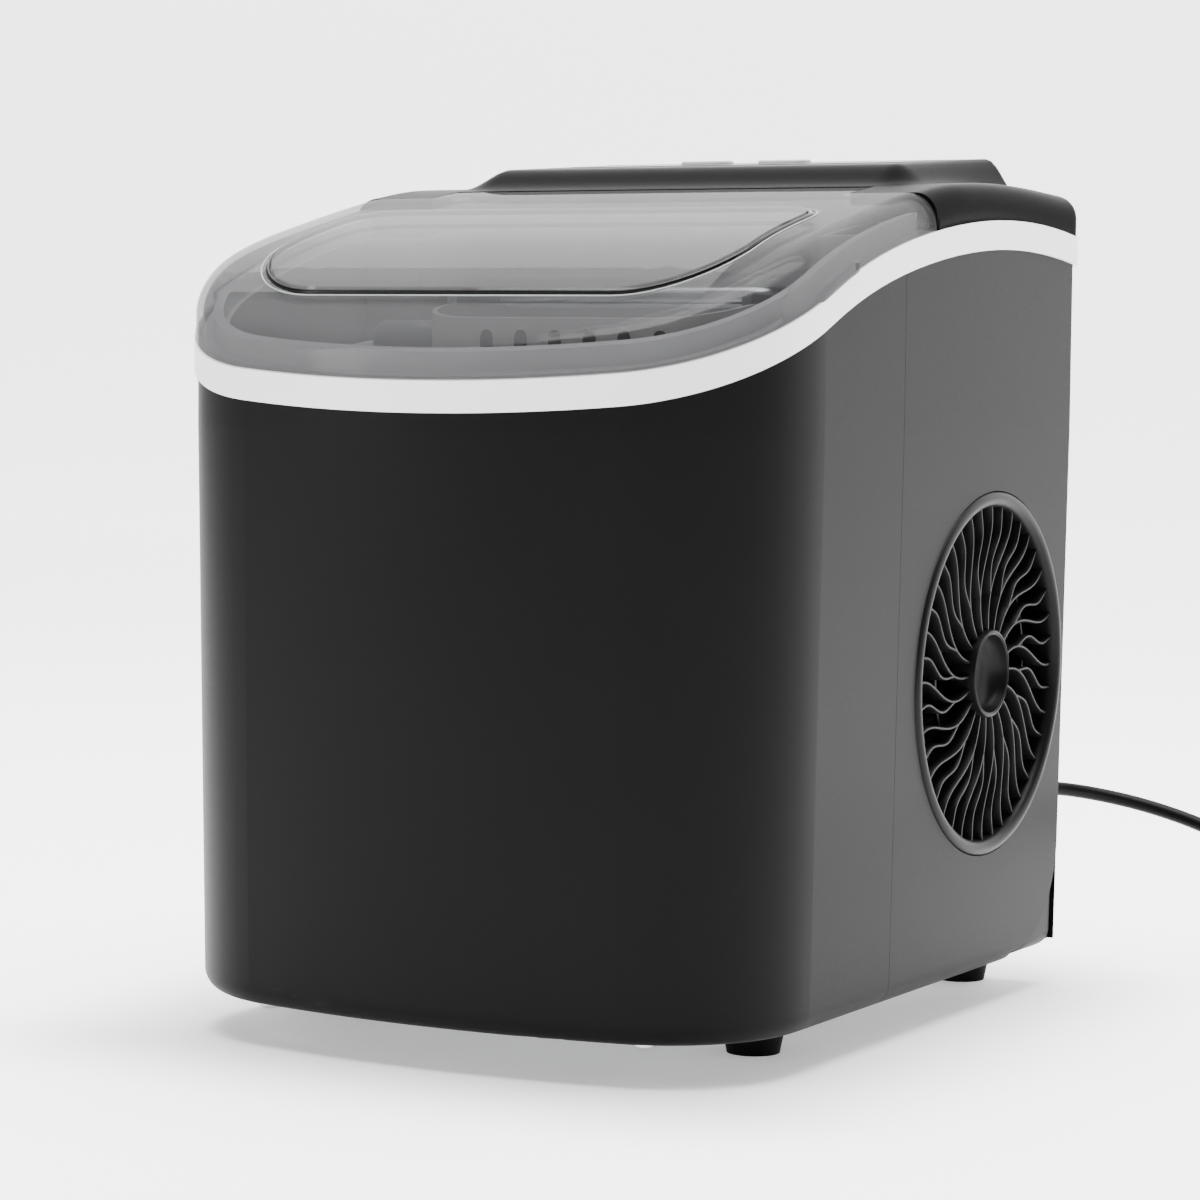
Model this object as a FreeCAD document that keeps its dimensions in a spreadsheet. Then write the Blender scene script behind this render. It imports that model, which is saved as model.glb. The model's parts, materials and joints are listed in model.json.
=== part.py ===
import FreeCAD, Part
import math
import os
from FreeCAD import Placement, Rotation, Vector

# Countertop bullet-ice maker. Millimetres, +Z up, front at -Y, right side at +X.
# The origin is the centre of the rectangle the machine covers, on the floor under its feet.

os.makedirs("parts", exist_ok=True)
doc = FreeCAD.newDocument("ice_maker")

DIMENSIONS = {
    # casing
    "case_width": 245, "case_depth": 292, "base_height": 14, "wall": 2.5,
    "front_bow": 367, "front_corner": 60, "rear_corner": 6, "case_taper": 3, "taper_top": 220,
    "bottom_round": 8.6, "seam_y": -15, "panel_end_y": 140, "arc_cut": 40,
    # trim band and its inner rim
    "band_height": 10.8, "band_proud": 1.4, "band_inner": 9, "rim_outer": 5.5, "rim_height": 7,
    # lid and hinge
    "lid_proud": 0.8, "lid_wall": 2.5, "lid_round": 12, "lid_gap": 0.3, "tongue_half": 88.5,
    "lid_side_y": 8.3, "lid_rear_y": 28.8, "cover_gap": 0.6, "hinge_y": 24.5, "hinge_z": 303.8,
    "pin_radius": 2, "pin_clear": 0.05, "window_half": 95, "window_front_y": -117,
    "window_rear_y": -28, "window_step": 1.6,
    # hump with the controls
    "hump_front_y": 60, "hump_front_z": 318.2, "hump_rear_z": 323.8, "hump_rear_y": 143,
    "hump_half": 84, "hump_foot": 102, "button_long": 22, "button_wide": 10, "button_apart": 34,
    "control_y": 100,
    # fan and its grille
    "fan_y": 69.1, "fan_z": 127.8, "grille_outer": 68.4, "grille_open": 62.5, "hub_radius": 16.5,
    "vane_count": 20, "vane_thick": 1.3, "vane_depth": 8, "rotor_radius": 56,
    # feet
    "foot_x": 83.3, "foot_front_y": -50, "foot_rear_y": 132, "foot_radius": 10.7,
    # water side
    "tub_inset": 9.05, "tub_wall": 2, "tub_floor": 96, "tub_split_y": -2.2, "chamber_floor": 178,
    "chamber_rear_y": 78, "chamber_left": -90, "chamber_right": 84,
    "tray_half": 58, "tray_front_y": 2, "tray_rear_y": 44, "tray_low": 212, "tray_high": 240,
    "tray_wall": 1.5, "tray_axis_y": 48, "tray_axis_z": 236, "tray_shaft_radius": 3,
    "finger_radius": 4.5, "finger_low": 220, "evaporator_z": 262,
    # power cord
    "cord_radius": 2.8, "cord_exit_x": 84, "cord_exit_z": 69.5, "coil_inner": 23, "coil_outer": 39,
    "coil_height": 17,
}

sheet = doc.addObject("Spreadsheet::Sheet", "dims")
for row, (alias, value) in enumerate(DIMENSIONS.items(), start=1):
    sheet.set(f"A{row}", alias)
    sheet.set(f"B{row}", str(value))
    sheet.setAlias(f"B{row}", alias)
doc.recompute()


def size(alias):
    """The value of one driving dimension, read from the sheet."""
    return float(getattr(sheet, alias))


HALF = size("case_width") / 2
FRONT = -size("case_depth") / 2
REAR = size("case_depth") / 2
WALL = size("wall")
BASE = size("base_height")
PAN_LOW = BASE + WALL
PAN_TOP = PAN_LOW + 1.5
WIDE = 200
FAN_Y = size("fan_y")
FAN_Z = size("fan_z")
X_AXIS = Vector(1, 0, 0)
Y_AXIS = Vector(0, 1, 0)
Z_AXIS = Vector(0, 0, 1)

NODES = []


# ---------------------------------------------------------------- helpers

def keep(obj, label):
    """Marks an object as one of the named pieces."""
    obj.Label = label
    NODES.append(obj)
    return obj


def solid_piece(label, shape, place=None):
    """A piece whose sculpted shape is worked out here from the sheet."""
    obj = doc.addObject("Part::Feature", label)
    obj.Shape = shape
    obj.Placement = place or Placement()
    return keep(obj, label)


def bound(kind, name, **expressions):
    """A primitive whose properties follow expressions over the sheet."""
    obj = doc.addObject(kind, name)
    for prop, text in expressions.items():
        obj.setExpression(prop, text)
    return obj


def put(obj, x, y, z, rotation=None):
    """Places a primitive; each coordinate is a number or an expression over the sheet."""
    if rotation is not None:
        obj.Placement = Placement(Vector(0, 0, 0), rotation)
    for axis, value in zip("xyz", (x, y, z)):
        obj.setExpression(f"Placement.Base.{axis}", str(value))
    return obj


def box_between(name, low, high):
    """A box from its low corner to its high corner, given as numbers or expressions."""
    obj = doc.addObject("Part::Box", name)
    for prop, first, last in zip(("Length", "Width", "Height"), low, high):
        obj.setExpression(prop, f"({last}) - ({first})")
    return put(obj, *low)


ALONG = {"x": Rotation(Y_AXIS, 90), "y": Rotation(X_AXIS, -90), "z": Rotation()}


def rod(name, radius, length, start, along="z"):
    """A cylinder that starts at a point and runs along +X, +Y or +Z."""
    obj = bound("Part::Cylinder", name, Radius=str(radius), Height=str(length))
    return put(obj, *start, rotation=ALONG[along])


def fuse(name, pieces):
    obj = doc.addObject("Part::MultiFuse", name)
    obj.Shapes = pieces
    return obj


def cut(name, base, tool):
    obj = doc.addObject("Part::Cut", name)
    obj.Base = base
    obj.Tool = tool
    return obj


def group(name, pieces):
    """Separate identical solids that share one node."""
    obj = doc.addObject("Part::Compound", name)
    obj.Links = pieces
    return obj


def block(low, high):
    return Part.makeBox(high[0] - low[0], high[1] - low[1], high[2] - low[2], Vector(*low))


def bar(radius, start, end):
    start = Vector(*start)
    way = Vector(*end) - start
    return Part.makeCylinder(radius, way.Length, start, way)


def rounded_block(low, high, radius):
    """A block whose four upright edges are rounded."""
    shape = block(low, high)
    edges = [e for e in shape.Edges if abs(e.tangentAt(e.FirstParameter).z) > 0.99]
    return shape.makeFillet(radius, edges)


def route_wire(points):
    """Straight runs joined by tangent arcs, each as large as its two runs allow."""
    points = [Vector(*p) for p in points]
    edges = []
    radii = []
    last = points[0]
    for before, here, after in zip(points, points[1:], points[2:]):
        back = (before - here).normalize()
        ahead = (after - here).normalize()
        half_turn = (math.pi - back.getAngle(ahead)) / 2
        setback = 0.45 * min((before - here).Length, (after - here).Length)
        radius = setback / math.tan(half_turn)
        enter = here + back * setback
        leave = here + ahead * setback
        middle_way = (back + ahead).normalize()
        middle = here + middle_way * (radius / math.cos(half_turn) - radius)
        edges.append(Part.LineSegment(last, enter).toShape())
        edges.append(Part.Arc(enter, middle, leave).toShape())
        radii.append(round(radius, 1))
        last = leave
    edges.append(Part.LineSegment(last, points[-1]).toShape())
    return Part.Wire(edges), radii


def tube(points, outer, inner=0):
    """A round tube or rod along a route, with a hole when inner is given."""
    wire, radii = route_wire(points)
    start = wire.Edges[0]
    way = start.tangentAt(start.FirstParameter)
    at = start.valueAt(start.FirstParameter)
    profile = Part.Wire(Part.Circle(at, way, outer).toShape())
    solid = wire.makePipeShell([profile], True, False)
    if inner:
        hollow = Part.Wire(Part.Circle(at, way, inner).toShape())
        solid = solid.cut(wire.makePipeShell([hollow], True, False))
    return solid, radii, wire.Length


# ---------------------------------------------------------------- casing outline

def outline(z, inset):
    """Plan outline at one height: bowed front, round front corners, straight sides."""
    side = HALF - inset
    front = FRONT + inset
    rear = REAR - inset
    bow = size("front_bow") - inset
    corner = size("front_corner") - inset
    rear_corner = max(size("rear_corner") - inset, 1)
    corner_x = side - corner
    bow_centre = front + bow
    corner_y = bow_centre - math.sqrt((bow - corner) ** 2 - corner_x ** 2)
    turn = math.asin(corner_x / (bow - corner))
    join = Vector(bow * math.sin(turn), bow_centre - bow * math.cos(turn), z)
    mid_turn = (turn + math.pi / 2) / 2
    bend = Vector(corner_x + corner * math.sin(mid_turn), corner_y - corner * math.cos(mid_turn), z)
    diagonal = rear_corner * (1 - math.sqrt(0.5))
    right = [Vector(side, corner_y, z), Vector(side, rear - rear_corner, z),
             Vector(side - diagonal, rear - diagonal, z), Vector(side - rear_corner, rear, z)]

    def mirror(point):
        return Vector(-point.x, point.y, point.z)

    left = [mirror(point) for point in right]
    edges = [
        Part.Arc(mirror(join), Vector(0, front, z), join),
        Part.Arc(join, bend, right[0]),
        Part.LineSegment(right[0], right[1]),
        Part.Arc(right[1], right[2], right[3]),
        Part.LineSegment(right[3], left[3]),
        Part.Arc(left[3], left[2], left[1]),
        Part.LineSegment(left[1], left[0]),
        Part.Arc(left[0], mirror(bend), mirror(join)),
    ]
    return Part.Wire([edge.toShape() for edge in edges])


def taper(z):
    """How far the casing has drawn in at a height below the band."""
    span = size("taper_top") - BASE
    return size("case_taper") * max(size("taper_top") - z, 0) / span


def prism(low, high, inset):
    """The casing outline, tapered below the band and upright above it."""
    top = size("taper_top")
    parts = []
    if low < top:
        lower = outline(low, inset + taper(low))
        upper = outline(min(high, top), inset + taper(min(high, top)))
        parts.append(Part.makeLoft([lower, upper], True, True))
    if high > top:
        start = max(low, top)
        parts.append(Part.Face(outline(start, inset)).extrude(Vector(0, 0, high - start)))
    return parts[0] if len(parts) == 1 else parts[0].fuse(parts[1])


def side_curve(points, lift=0):
    """A smooth line in the side view through a few (y, z) points."""
    spline = Part.BSplineCurve()
    spline.interpolate([Vector(-WIDE, y, z + lift) for y, z in points])
    return spline.toShape()


def below(points, lift=0, floor=0):
    """Everything under a side-view line, across the full width."""
    edge = side_curve(points, lift)
    start, end = edge.valueAt(edge.FirstParameter), edge.valueAt(edge.LastParameter)
    corner_end = Vector(-WIDE, end.y, floor)
    corner_start = Vector(-WIDE, start.y, floor)
    sides = [Part.LineSegment(end, corner_end).toShape(),
             Part.LineSegment(corner_end, corner_start).toShape(),
             Part.LineSegment(corner_start, start).toShape()]
    return Part.Face(Part.Wire([edge] + sides)).extrude(Vector(2 * WIDE, 0, 0))


# (y, z) of the band's lower edge, the lid's crown and the rear cover's crown
BAND_LINE = [(-160, 221), (-100, 247), (-60, 263.8), (0, 279), (75, 286.3), (160, 279)]
LID_LINE = [(-160, 240), (-117, 267.5), (-84, 283), (-44, 294), (8, 305), (40, 309.5)]
COVER_LINE = [(-10, 301.5), (8, 305), (40, 309.5), (90, 311), (160, 308)]


def round_bottom(shape, low, radius):
    """Rounds the lower outer edge of a casing prism."""
    edges = [e for e in shape.Edges if e.BoundBox.ZMax < low + 0.01]
    return shape.makeFillet(radius, edges)


# ---------------------------------------------------------------- casing pieces

def casing():
    """The tapered outer casing under the band, hollow, with a return lip at the bottom."""
    top = 300
    radius = size("bottom_round")
    outer = round_bottom(prism(BASE, top, 0), BASE, radius)
    inner = round_bottom(prism(PAN_LOW, top, WALL), PAN_LOW, radius - WALL)
    mouth = Part.Face(outline(BASE - 1, 21)).extrude(Vector(0, 0, WALL + 2))
    return outer.cut(inner).cut(mouth).common(below(BAND_LINE))


def half_space(y_low, y_high):
    return block((-WIDE, y_low, 0), (WIDE, y_high, 360))


def side_x(z):
    """Outer half width of the tapered side at a height."""
    return HALF - taper(z)


DRAIN_Y = -40
DRAIN_Z = 42
DRAIN_RADIUS = 9
SHELL_SCREWS = [(-76, -118), (76, -118)]

case = casing()

front = case.common(half_space(FRONT - 10, size("seam_y") - 0.1))
front = front.cut(bar(DRAIN_RADIUS, (-HALF - 5, DRAIN_Y, DRAIN_Z), (-HALF + 12, DRAIN_Y, DRAIN_Z)))
for x, y in SHELL_SCREWS:
    front = front.cut(bar(2, (x, y, BASE - 1), (x, y, PAN_LOW + 1)))
solid_piece("front_shell", front)


def arc_cutter():
    """Takes the lower rear corner off the side panels with one large arc."""
    radius = size("arc_cut")
    end = size("panel_end_y")
    centre_z = BASE + 4 + radius
    centre_y = end - radius
    corner = block((-WIDE, centre_y, 0), (WIDE, end + 30, centre_z))
    disc = Part.makeCylinder(radius, 2 * WIDE, Vector(-WIDE, centre_y, centre_z), X_AXIS)
    return corner.cut(disc)


side_ring = case.common(half_space(size("seam_y") + 0.1, size("panel_end_y"))).cut(arc_cutter())
right_half = block((0, -WIDE, 0), (WIDE, WIDE, 360))
left_half = block((-WIDE, -WIDE, 0), (0, WIDE, 360))

right_panel = side_ring.common(right_half)
seat = bar(size("grille_outer") + 0.2, (HALF - 20, FAN_Y, FAN_Z), (HALF + 10, FAN_Y, FAN_Z))
right_panel = right_panel.cut(seat)
solid_piece("right_side_panel", right_panel)

VENT_ROWS = 9
VENT_PITCH = 11
VENT_LENGTH = 84
VENT_WIDE = 3.4


def side_vents():
    """A ladder of slots for the air that the fan draws through the left side."""
    slots = []
    for row in range(VENT_ROWS):
        z = 84 + row * VENT_PITCH
        slot = block((-HALF - 5, FAN_Y - VENT_LENGTH / 2, z), (-HALF + 8, FAN_Y + VENT_LENGTH / 2, z + VENT_WIDE))
        ends = [e for e in slot.Edges if abs(e.tangentAt(e.FirstParameter).x) > 0.99]
        slots.append(slot.makeFillet(VENT_WIDE / 2 - 0.05, ends))
    return Part.makeCompound(slots)


solid_piece("left_side_panel", side_ring.common(left_half).cut(side_vents()))


def cover_y(z):
    """The outer face of the rear cover at a height."""
    return REAR - COVER_INSET - taper(z)


COVER_INSET = 0.4
COVER_WALL = 2.6


def rear_cover():
    """A shallow pan that closes the back and tucks inside both side panels."""
    low = BASE + 4
    tuck = WALL + 0.1
    wings = prism(low, 300, tuck).cut(prism(low - 3, 301, tuck + 2)).common(half_space(96, REAR - 3))
    wings = wings.cut(block((-WIDE, 90, 0), (WIDE, 118, 26))).cut(block((-95, 90, 0), (95, REAR, 301)))
    wings = wings.cut(bar(size("grille_outer") + 1, (HALF - 20, FAN_Y, FAN_Z), (HALF + 10, FAN_Y, FAN_Z)))
    back = prism(low, 300, COVER_INSET).cut(prism(low - 3, 301, COVER_INSET + COVER_WALL))
    back = back.common(half_space(size("panel_end_y") + 0.2, REAR + 5))
    shape = back.fuse(wings).common(below(BAND_LINE)).removeSplitter()
    for row in range(7):
        z = 196 + row * 9
        shape = shape.cut(block((-70, REAR - 10, z), (70, REAR + 5, z + 3.2)))
    gland_x = size("cord_exit_x")
    gland_z = size("cord_exit_z")
    return shape.cut(bar(6.5, (gland_x, REAR - 12, gland_z), (gland_x, REAR + 5, gland_z)))


REAR_SCREWS = [(x, z) for x in (-100, 100) for z in (40, 150, 262)]
back_cover = rear_cover()
for x, z in REAR_SCREWS:
    back_cover = back_cover.cut(bar(1.6, (x, REAR - 12, z), (x, REAR + 2, z)))
solid_piece("rear_cover", back_cover)


def trim_band():
    """The light band all round the top, with the rim that the lid closes over."""
    height = size("band_height")
    ring = prism(222, 330, -size("band_proud")).cut(prism(221, 340, size("band_inner")))
    band = ring.common(below(BAND_LINE, height)).cut(below(BAND_LINE))
    rim = prism(222, 330, size("rim_outer")).cut(prism(221, 340, size("band_inner")))
    rim = rim.common(below(BAND_LINE, height + size("rim_height"))).cut(below(BAND_LINE, height - 1))
    rim = rim.common(half_space(FRONT - 10, size("lid_side_y") - 3))
    return band.fuse(rim).removeSplitter()


solid_piece("trim_band", trim_band())


# ---------------------------------------------------------------- lid and top cover

def crowned(line, inset, radius, lift, y_low, y_high):
    """A capped prism whose upper edge is rounded where it meets the sides."""
    shape = prism(222, 345, inset).common(below(line, lift)).common(half_space(y_low, y_high))
    crown = max(shape.Faces, key=lambda face: face.CenterOfMass.z)
    edges = []
    for edge in crown.Edges:
        middle = edge.valueAt((edge.FirstParameter + edge.LastParameter) / 2)
        if y_low + 0.5 < middle.y < y_high - 0.5:
            edges.append(edge)
    return shape.makeFillet(radius, edges)


def lid_plan(gap, side_y, rear_y, half):
    """The area the lid covers: the front, and a tongue between the cover's shoulders."""
    wide = block((-WIDE, FRONT - 20, 200), (WIDE, side_y - gap, 345))
    tongue = block((-half + gap, FRONT, 200), (half - gap, rear_y - gap, 345))
    return wide.fuse(tongue)


def rounded_rectangle(low, high, radius_front, radius_rear, z, height):
    shape = block((low[0], low[1], z), (high[0], high[1], z + height))
    upright = [e for e in shape.Edges if abs(e.tangentAt(e.FirstParameter).z) > 0.99]
    front_edges = [e for e in upright if e.BoundBox.YMax < (low[1] + high[1]) / 2]
    shape = shape.makeFillet(radius_front, front_edges)
    upright = [e for e in shape.Edges if abs(e.tangentAt(e.FirstParameter).z) > 0.99]
    rear_edges = [e for e in upright if e.BoundBox.YMin > high[1] - 1]
    return shape.makeFillet(radius_rear, rear_edges)


def lid():
    """One clear moulding: domed front, rounded sides, a raised window and two finger tabs."""
    proud = -size("lid_proud")
    wall = size("lid_wall")
    radius = size("lid_round")
    outer = crowned(LID_LINE, proud, radius, 0, FRONT - 20, 45)
    inner = crowned(LID_LINE, proud + wall, radius - wall, -wall, FRONT - 20, 45)
    window_low = (-size("window_half"), size("window_front_y"))
    window_high = (size("window_half"), size("window_rear_y"))
    step = size("window_step")
    pane = rounded_rectangle(window_low, window_high, 36, 14, 222, 120)
    pane = pane.common(below(LID_LINE, step)).cut(below(LID_LINE, -wall + 0.2))
    shape = outer.cut(inner).fuse(pane)
    shape = shape.cut(below(BAND_LINE, size("band_height") + size("lid_gap")))
    shape = shape.common(lid_plan(0, size("lid_side_y"), size("lid_rear_y"), size("tongue_half")))
    axis_y, axis_z = size("hinge_y"), size("hinge_z")
    for side in (-1, 1):
        knuckle_end = side * (size("tongue_half") - 0.5)
        knuckle_start = knuckle_end - side * 8
        shape = shape.fuse(bar(3.6, (knuckle_start, axis_y, axis_z), (knuckle_end, axis_y, axis_z)))
        bore_end = knuckle_end + side
        bore_start = knuckle_start - side
        shape = shape.cut(bar(size("pin_radius") + size("pin_clear"),
                              (bore_start, axis_y, axis_z), (bore_end, axis_y, axis_z)))
    tab_edge = prism(222, 345, proud - 1.6).cut(prism(221, 346, proud + 0.5))
    tab_strip = below(BAND_LINE, size("band_height") + 3.4).cut(below(BAND_LINE, size("band_height") + 0.4))
    tabs = tab_edge.common(tab_strip).common(half_space(-86, -59))
    return shape.fuse(tabs).removeSplitter()


def hump(shrink):
    """The raised control housing, drawn in all round by shrink: sloping front, flared sides, tilted top."""
    foot, top = size("hump_foot"), size("hump_half")
    base_z = 300
    sections = []
    for half, front_y, rear_y, corner, z_front, z_rear in (
            (foot, 32, REAR - 0.5, 24, base_z, base_z),
            (foot, 32, REAR - 0.5, 24, 307, 309),
            (foot - 10, 46, REAR - 0.8, 20, 311.5, 315.5),
            (top, size("hump_front_y"), size("hump_rear_y"), 14,
             size("hump_front_z"), size("hump_rear_z"))):
        half, corner = half - shrink, corner - shrink
        front_y, rear_y = front_y + shrink, rear_y - shrink
        z_front, z_rear = z_front - shrink, z_rear - shrink
        slope = (z_rear - z_front) / (rear_y - front_y)

        def at(x, y):
            return Vector(x, y, z_front + slope * (y - front_y))

        cut_in = corner * (1 - math.sqrt(0.5))
        corners = [(half, rear_y, -1, -1), (-half, rear_y, 1, -1), (-half, front_y, 1, 1), (half, front_y, -1, 1)]
        edges = []
        for x, y, dx, dy in corners:
            along_x = at(x + dx * corner, y)
            along_y = at(x, y + dy * corner)
            middle = at(x + dx * cut_in, y + dy * cut_in)
            first, last = (along_y, along_x) if dx * dy > 0 else (along_x, along_y)
            edges.append((first, middle, last))
        wire = []
        for (first, middle, last), following in zip(edges, edges[1:] + edges[:1]):
            wire.append(Part.Arc(first, middle, last).toShape())
            wire.append(Part.LineSegment(last, following[0]).toShape())
        sections.append(Part.Wire(wire))
    return Part.makeLoft(sections, True, True)


def control_place(x, lift):
    """A place on the tilted control face, at x from the middle."""
    rise = size("hump_rear_z") - size("hump_front_z")
    run = size("hump_rear_y") - size("hump_front_y")
    tilt = math.degrees(math.atan2(rise, run))
    z = size("hump_front_z") + rise * (size("control_y") - size("hump_front_y")) / run
    turn = Rotation(X_AXIS, tilt)
    return Placement(Vector(x, size("control_y"), z) + turn.multVec(Vector(0, 0, lift)), turn)


BUTTONS = {"power_button": -size("button_apart") / 2, "select_button": size("button_apart") / 2}
LAMPS = [-60, -46, 46, 60]
BOARD_DEPTH = 13


def oval(long, wide, thick):
    """A flat pill shape centred on its own origin, standing up from it."""
    shape = block((-long / 2, -wide / 2, 0), (long / 2, wide / 2, thick))
    upright = [e for e in shape.Edges if abs(e.tangentAt(e.FirstParameter).z) > 0.99]
    return shape.makeFillet(wide / 2 - 0.05, upright)


def placed(shape, place):
    shape = shape.copy()
    shape.Placement = place
    return shape


def top_cover():
    """The rear top moulding: shoulders each side of the lid's tongue, and the hump."""
    proud = -size("lid_proud")
    wall = size("lid_wall")
    outer = crowned(COVER_LINE, proud, 8, 0, -10, REAR + 10)
    inner = crowned(COVER_LINE, proud + wall, 8 - wall, -wall, -12, REAR + 10)
    shell = outer.fuse(hump(0)).cut(inner).cut(hump(wall))
    shell = shell.cut(below(BAND_LINE, size("band_height") + 0.1))
    gap = size("cover_gap")
    shell = shell.cut(lid_plan(-gap, size("lid_side_y"), size("lid_rear_y") + 1.2, size("tongue_half")))
    shell = shell.common(half_space(size("lid_side_y") + gap, REAR + 10))
    axis_y, axis_z = size("hinge_y"), size("hinge_z")
    for side in (-1, 1):
        near = side * (size("tongue_half") + gap)
        far = near + side * 8
        low = (min(near, far), axis_y - 5, axis_z - 5)
        high = (max(near, far), axis_y + 5, axis_z + 3.5)
        shell = shell.fuse(block(low, high))
        shell = shell.cut(bar(size("pin_radius"), (near - side, axis_y, axis_z), (far, axis_y, axis_z)))
    shell = shell.cut(placed(rounded_block((-72, -16, -0.6), (72, 16, 3), 6), control_place(0, 0)))
    for x in BUTTONS.values():
        hole = oval(size("button_long") + 0.8, size("button_wide") + 0.8, 12)
        shell = shell.cut(placed(hole, control_place(x, -9)))
    for x in LAMPS:
        shell = shell.cut(placed(Part.makeCylinder(1.6, 12), control_place(x, -9)))
    for x in (-62, 62):
        for y in (-17, 17):
            post = Part.makeCylinder(3, BOARD_DEPTH - 1.6 - 1.5, Vector(0, y, 0))
            shell = shell.fuse(placed(post, control_place(x, 1.6 - BOARD_DEPTH)))
    return shell.removeSplitter()


solid_piece("lid", lid())
solid_piece("top_cover", top_cover())

pins = []
for side in (-1, 1):
    start = side * (size("tongue_half") - 7.5)
    end = side * (size("tongue_half") + size("cover_gap") + 8)
    pins.append(bar(size("pin_radius"), (start, size("hinge_y"), size("hinge_z")),
                    (end, size("hinge_y"), size("hinge_z"))))
solid_piece("hinge_pins", Part.makeCompound(pins))

overlay = rounded_block((-71.8, -15.8, 0), (71.8, 15.8, 0.8), 5.8)
for x in BUTTONS.values():
    overlay = overlay.cut(oval(size("button_long") + 0.8, size("button_wide") + 0.8, 2)
                          .translated(Vector(x, 0, -0.5)))
for x in LAMPS:
    overlay = overlay.cut(Part.makeCylinder(1.6, 2, Vector(x, 0, -0.5)))
solid_piece("control_overlay", overlay, control_place(0, -0.6))

for label, x in BUTTONS.items():
    cap = oval(size("button_long"), size("button_wide"), 2.6)
    rim = [e for e in cap.Edges if e.BoundBox.ZMin > 2.5]
    cap = cap.makeFillet(0.8, rim).fuse(Part.makeCylinder(2, 7, Vector(0, 0, -7)))
    solid_piece(label, cap, control_place(x, -0.9))

lamps = [placed(Part.makeCylinder(1.55, 4), control_place(x, -3.7)) for x in LAMPS]
solid_piece("indicator_lights", Part.makeCompound(lamps))

board = block((-66, -20, 0), (66, 20, 1.6))
solid_piece("control_board", board, control_place(0, -BOARD_DEPTH))

switches = []
for x in BUTTONS.values():
    switches.append(placed(block((-3, -3, 0), (3, 3, 2)), control_place(x, 1.6 - BOARD_DEPTH)))
solid_piece("button_switches", Part.makeCompound(switches))


# ---------------------------------------------------------------- fan side

def vane(start_angle, start_radius, sweep, end_radius):
    """One S-curved vane: it leaves the hub straight, sweeps round, and meets the rim straight."""
    half = size("vane_thick") / 2
    sides = ([], [])
    steps = 7
    for step in range(steps + 1):
        share = step / steps
        radius = start_radius + (end_radius - start_radius) * share
        smooth = share * share * (3 - 2 * share)
        angle = math.radians(start_angle - sweep * smooth)
        for line, offset in zip(sides, (half, -half)):
            spread = angle + offset / radius
            line.append(Vector(0, radius * math.cos(spread), radius * math.sin(spread)))
    curves = []
    for line in sides:
        spline = Part.BSplineCurve()
        spline.interpolate(line)
        curves.append(spline.toShape())
    ends = [Part.LineSegment(sides[0][0], sides[1][0]).toShape(),
            Part.LineSegment(sides[0][-1], sides[1][-1]).toShape()]
    face = Part.Face(Part.Wire(Part.__sortEdges__(curves + ends)))
    return face.extrude(Vector(size("vane_depth"), 0, 0))


def fan_grille():
    """Convex ring, dished hub, and vanes that fork half way out."""
    outer, opening = size("grille_outer"), size("grille_open")
    hub = size("hub_radius")
    back = HALF - 9.5
    depth = size("vane_depth")
    centre = Vector(back, FAN_Y, FAN_Z)
    ring = Part.makeCylinder(outer, 10.8, centre, X_AXIS)
    ring = ring.cut(Part.makeCylinder(opening, 20, centre - Vector(1, 0, 0), X_AXIS))
    rim = [e for e in ring.Edges if e.BoundBox.XMin > back + 10.7]
    ring = ring.makeFillet(1.2, rim)
    cup = Part.makeCylinder(hub, depth + 5, centre, X_AXIS)
    dish = Part.makeSphere(38, centre + Vector(depth + 5 + 34.4, 0, 0))
    pieces = [cup.cut(dish)]
    pitch = 360 / size("vane_count")
    for index in range(int(size("vane_count"))):
        angle = index * pitch
        pieces.append(vane(angle, hub - 0.6, pitch * 0.95, opening + 0.8).translated(centre))
        fork = vane(angle - pitch * 0.16, opening * 0.46, pitch * 0.3, opening + 0.8)
        pieces.append(fork.translated(centre))
    for radius in (opening * 0.42, opening * 0.7):
        support = Part.makeCylinder(radius + 0.8, 2, centre, X_AXIS)
        pieces.append(support.cut(Part.makeCylinder(radius - 0.8, 4, centre - Vector(1, 0, 0), X_AXIS)))
    return ring.multiFuse(pieces)


solid_piece("fan_grille", fan_grille())

FAN_X = 92


def fan_rotor():
    """A hub with seven pitched blades on the motor's shaft."""
    hub = Part.makeCylinder(17, 16, Vector(FAN_X, FAN_Y, FAN_Z), X_AXIS)
    hub = hub.cut(Part.makeCylinder(2.55, 30, Vector(FAN_X - 5, FAN_Y, FAN_Z), X_AXIS))
    hub = hub.fuse(Part.makeCylinder(17, 2, Vector(FAN_X + 14, FAN_Y, FAN_Z), X_AXIS))
    blades = []
    length = size("rotor_radius") - 15
    for index in range(7):
        blade = block((-0.8, -14, 0), (0.8, 14, length))
        turn = Rotation(Z_AXIS, 58)
        blade.Placement = Placement(Vector(0, 0, 15), turn)
        spin = Rotation(X_AXIS, index * 360 / 7)
        blade = blade.copy()
        blade.Placement = Placement(Vector(FAN_X + 8, FAN_Y, FAN_Z), spin).multiply(blade.Placement)
        blades.append(blade)
    limit = Part.makeCylinder(size("rotor_radius"), 40, Vector(FAN_X - 10, FAN_Y, FAN_Z), X_AXIS)
    return hub.multiFuse(blades).common(limit).removeSplitter()


solid_piece("fan_rotor", fan_rotor())

motor_can = rod("motor_can", 21, 24, (62, "dims.fan_y", "dims.fan_z"), "x")
motor_nose = rod("motor_nose", 9, 3, (86, "dims.fan_y", "dims.fan_z"), "x")
motor_shaft = rod("motor_shaft", 2.5, 14, (89, "dims.fan_y", "dims.fan_z"), "x")
keep(fuse("fan_motor_body", [motor_can, motor_nose, motor_shaft]), "fan_motor")

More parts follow.
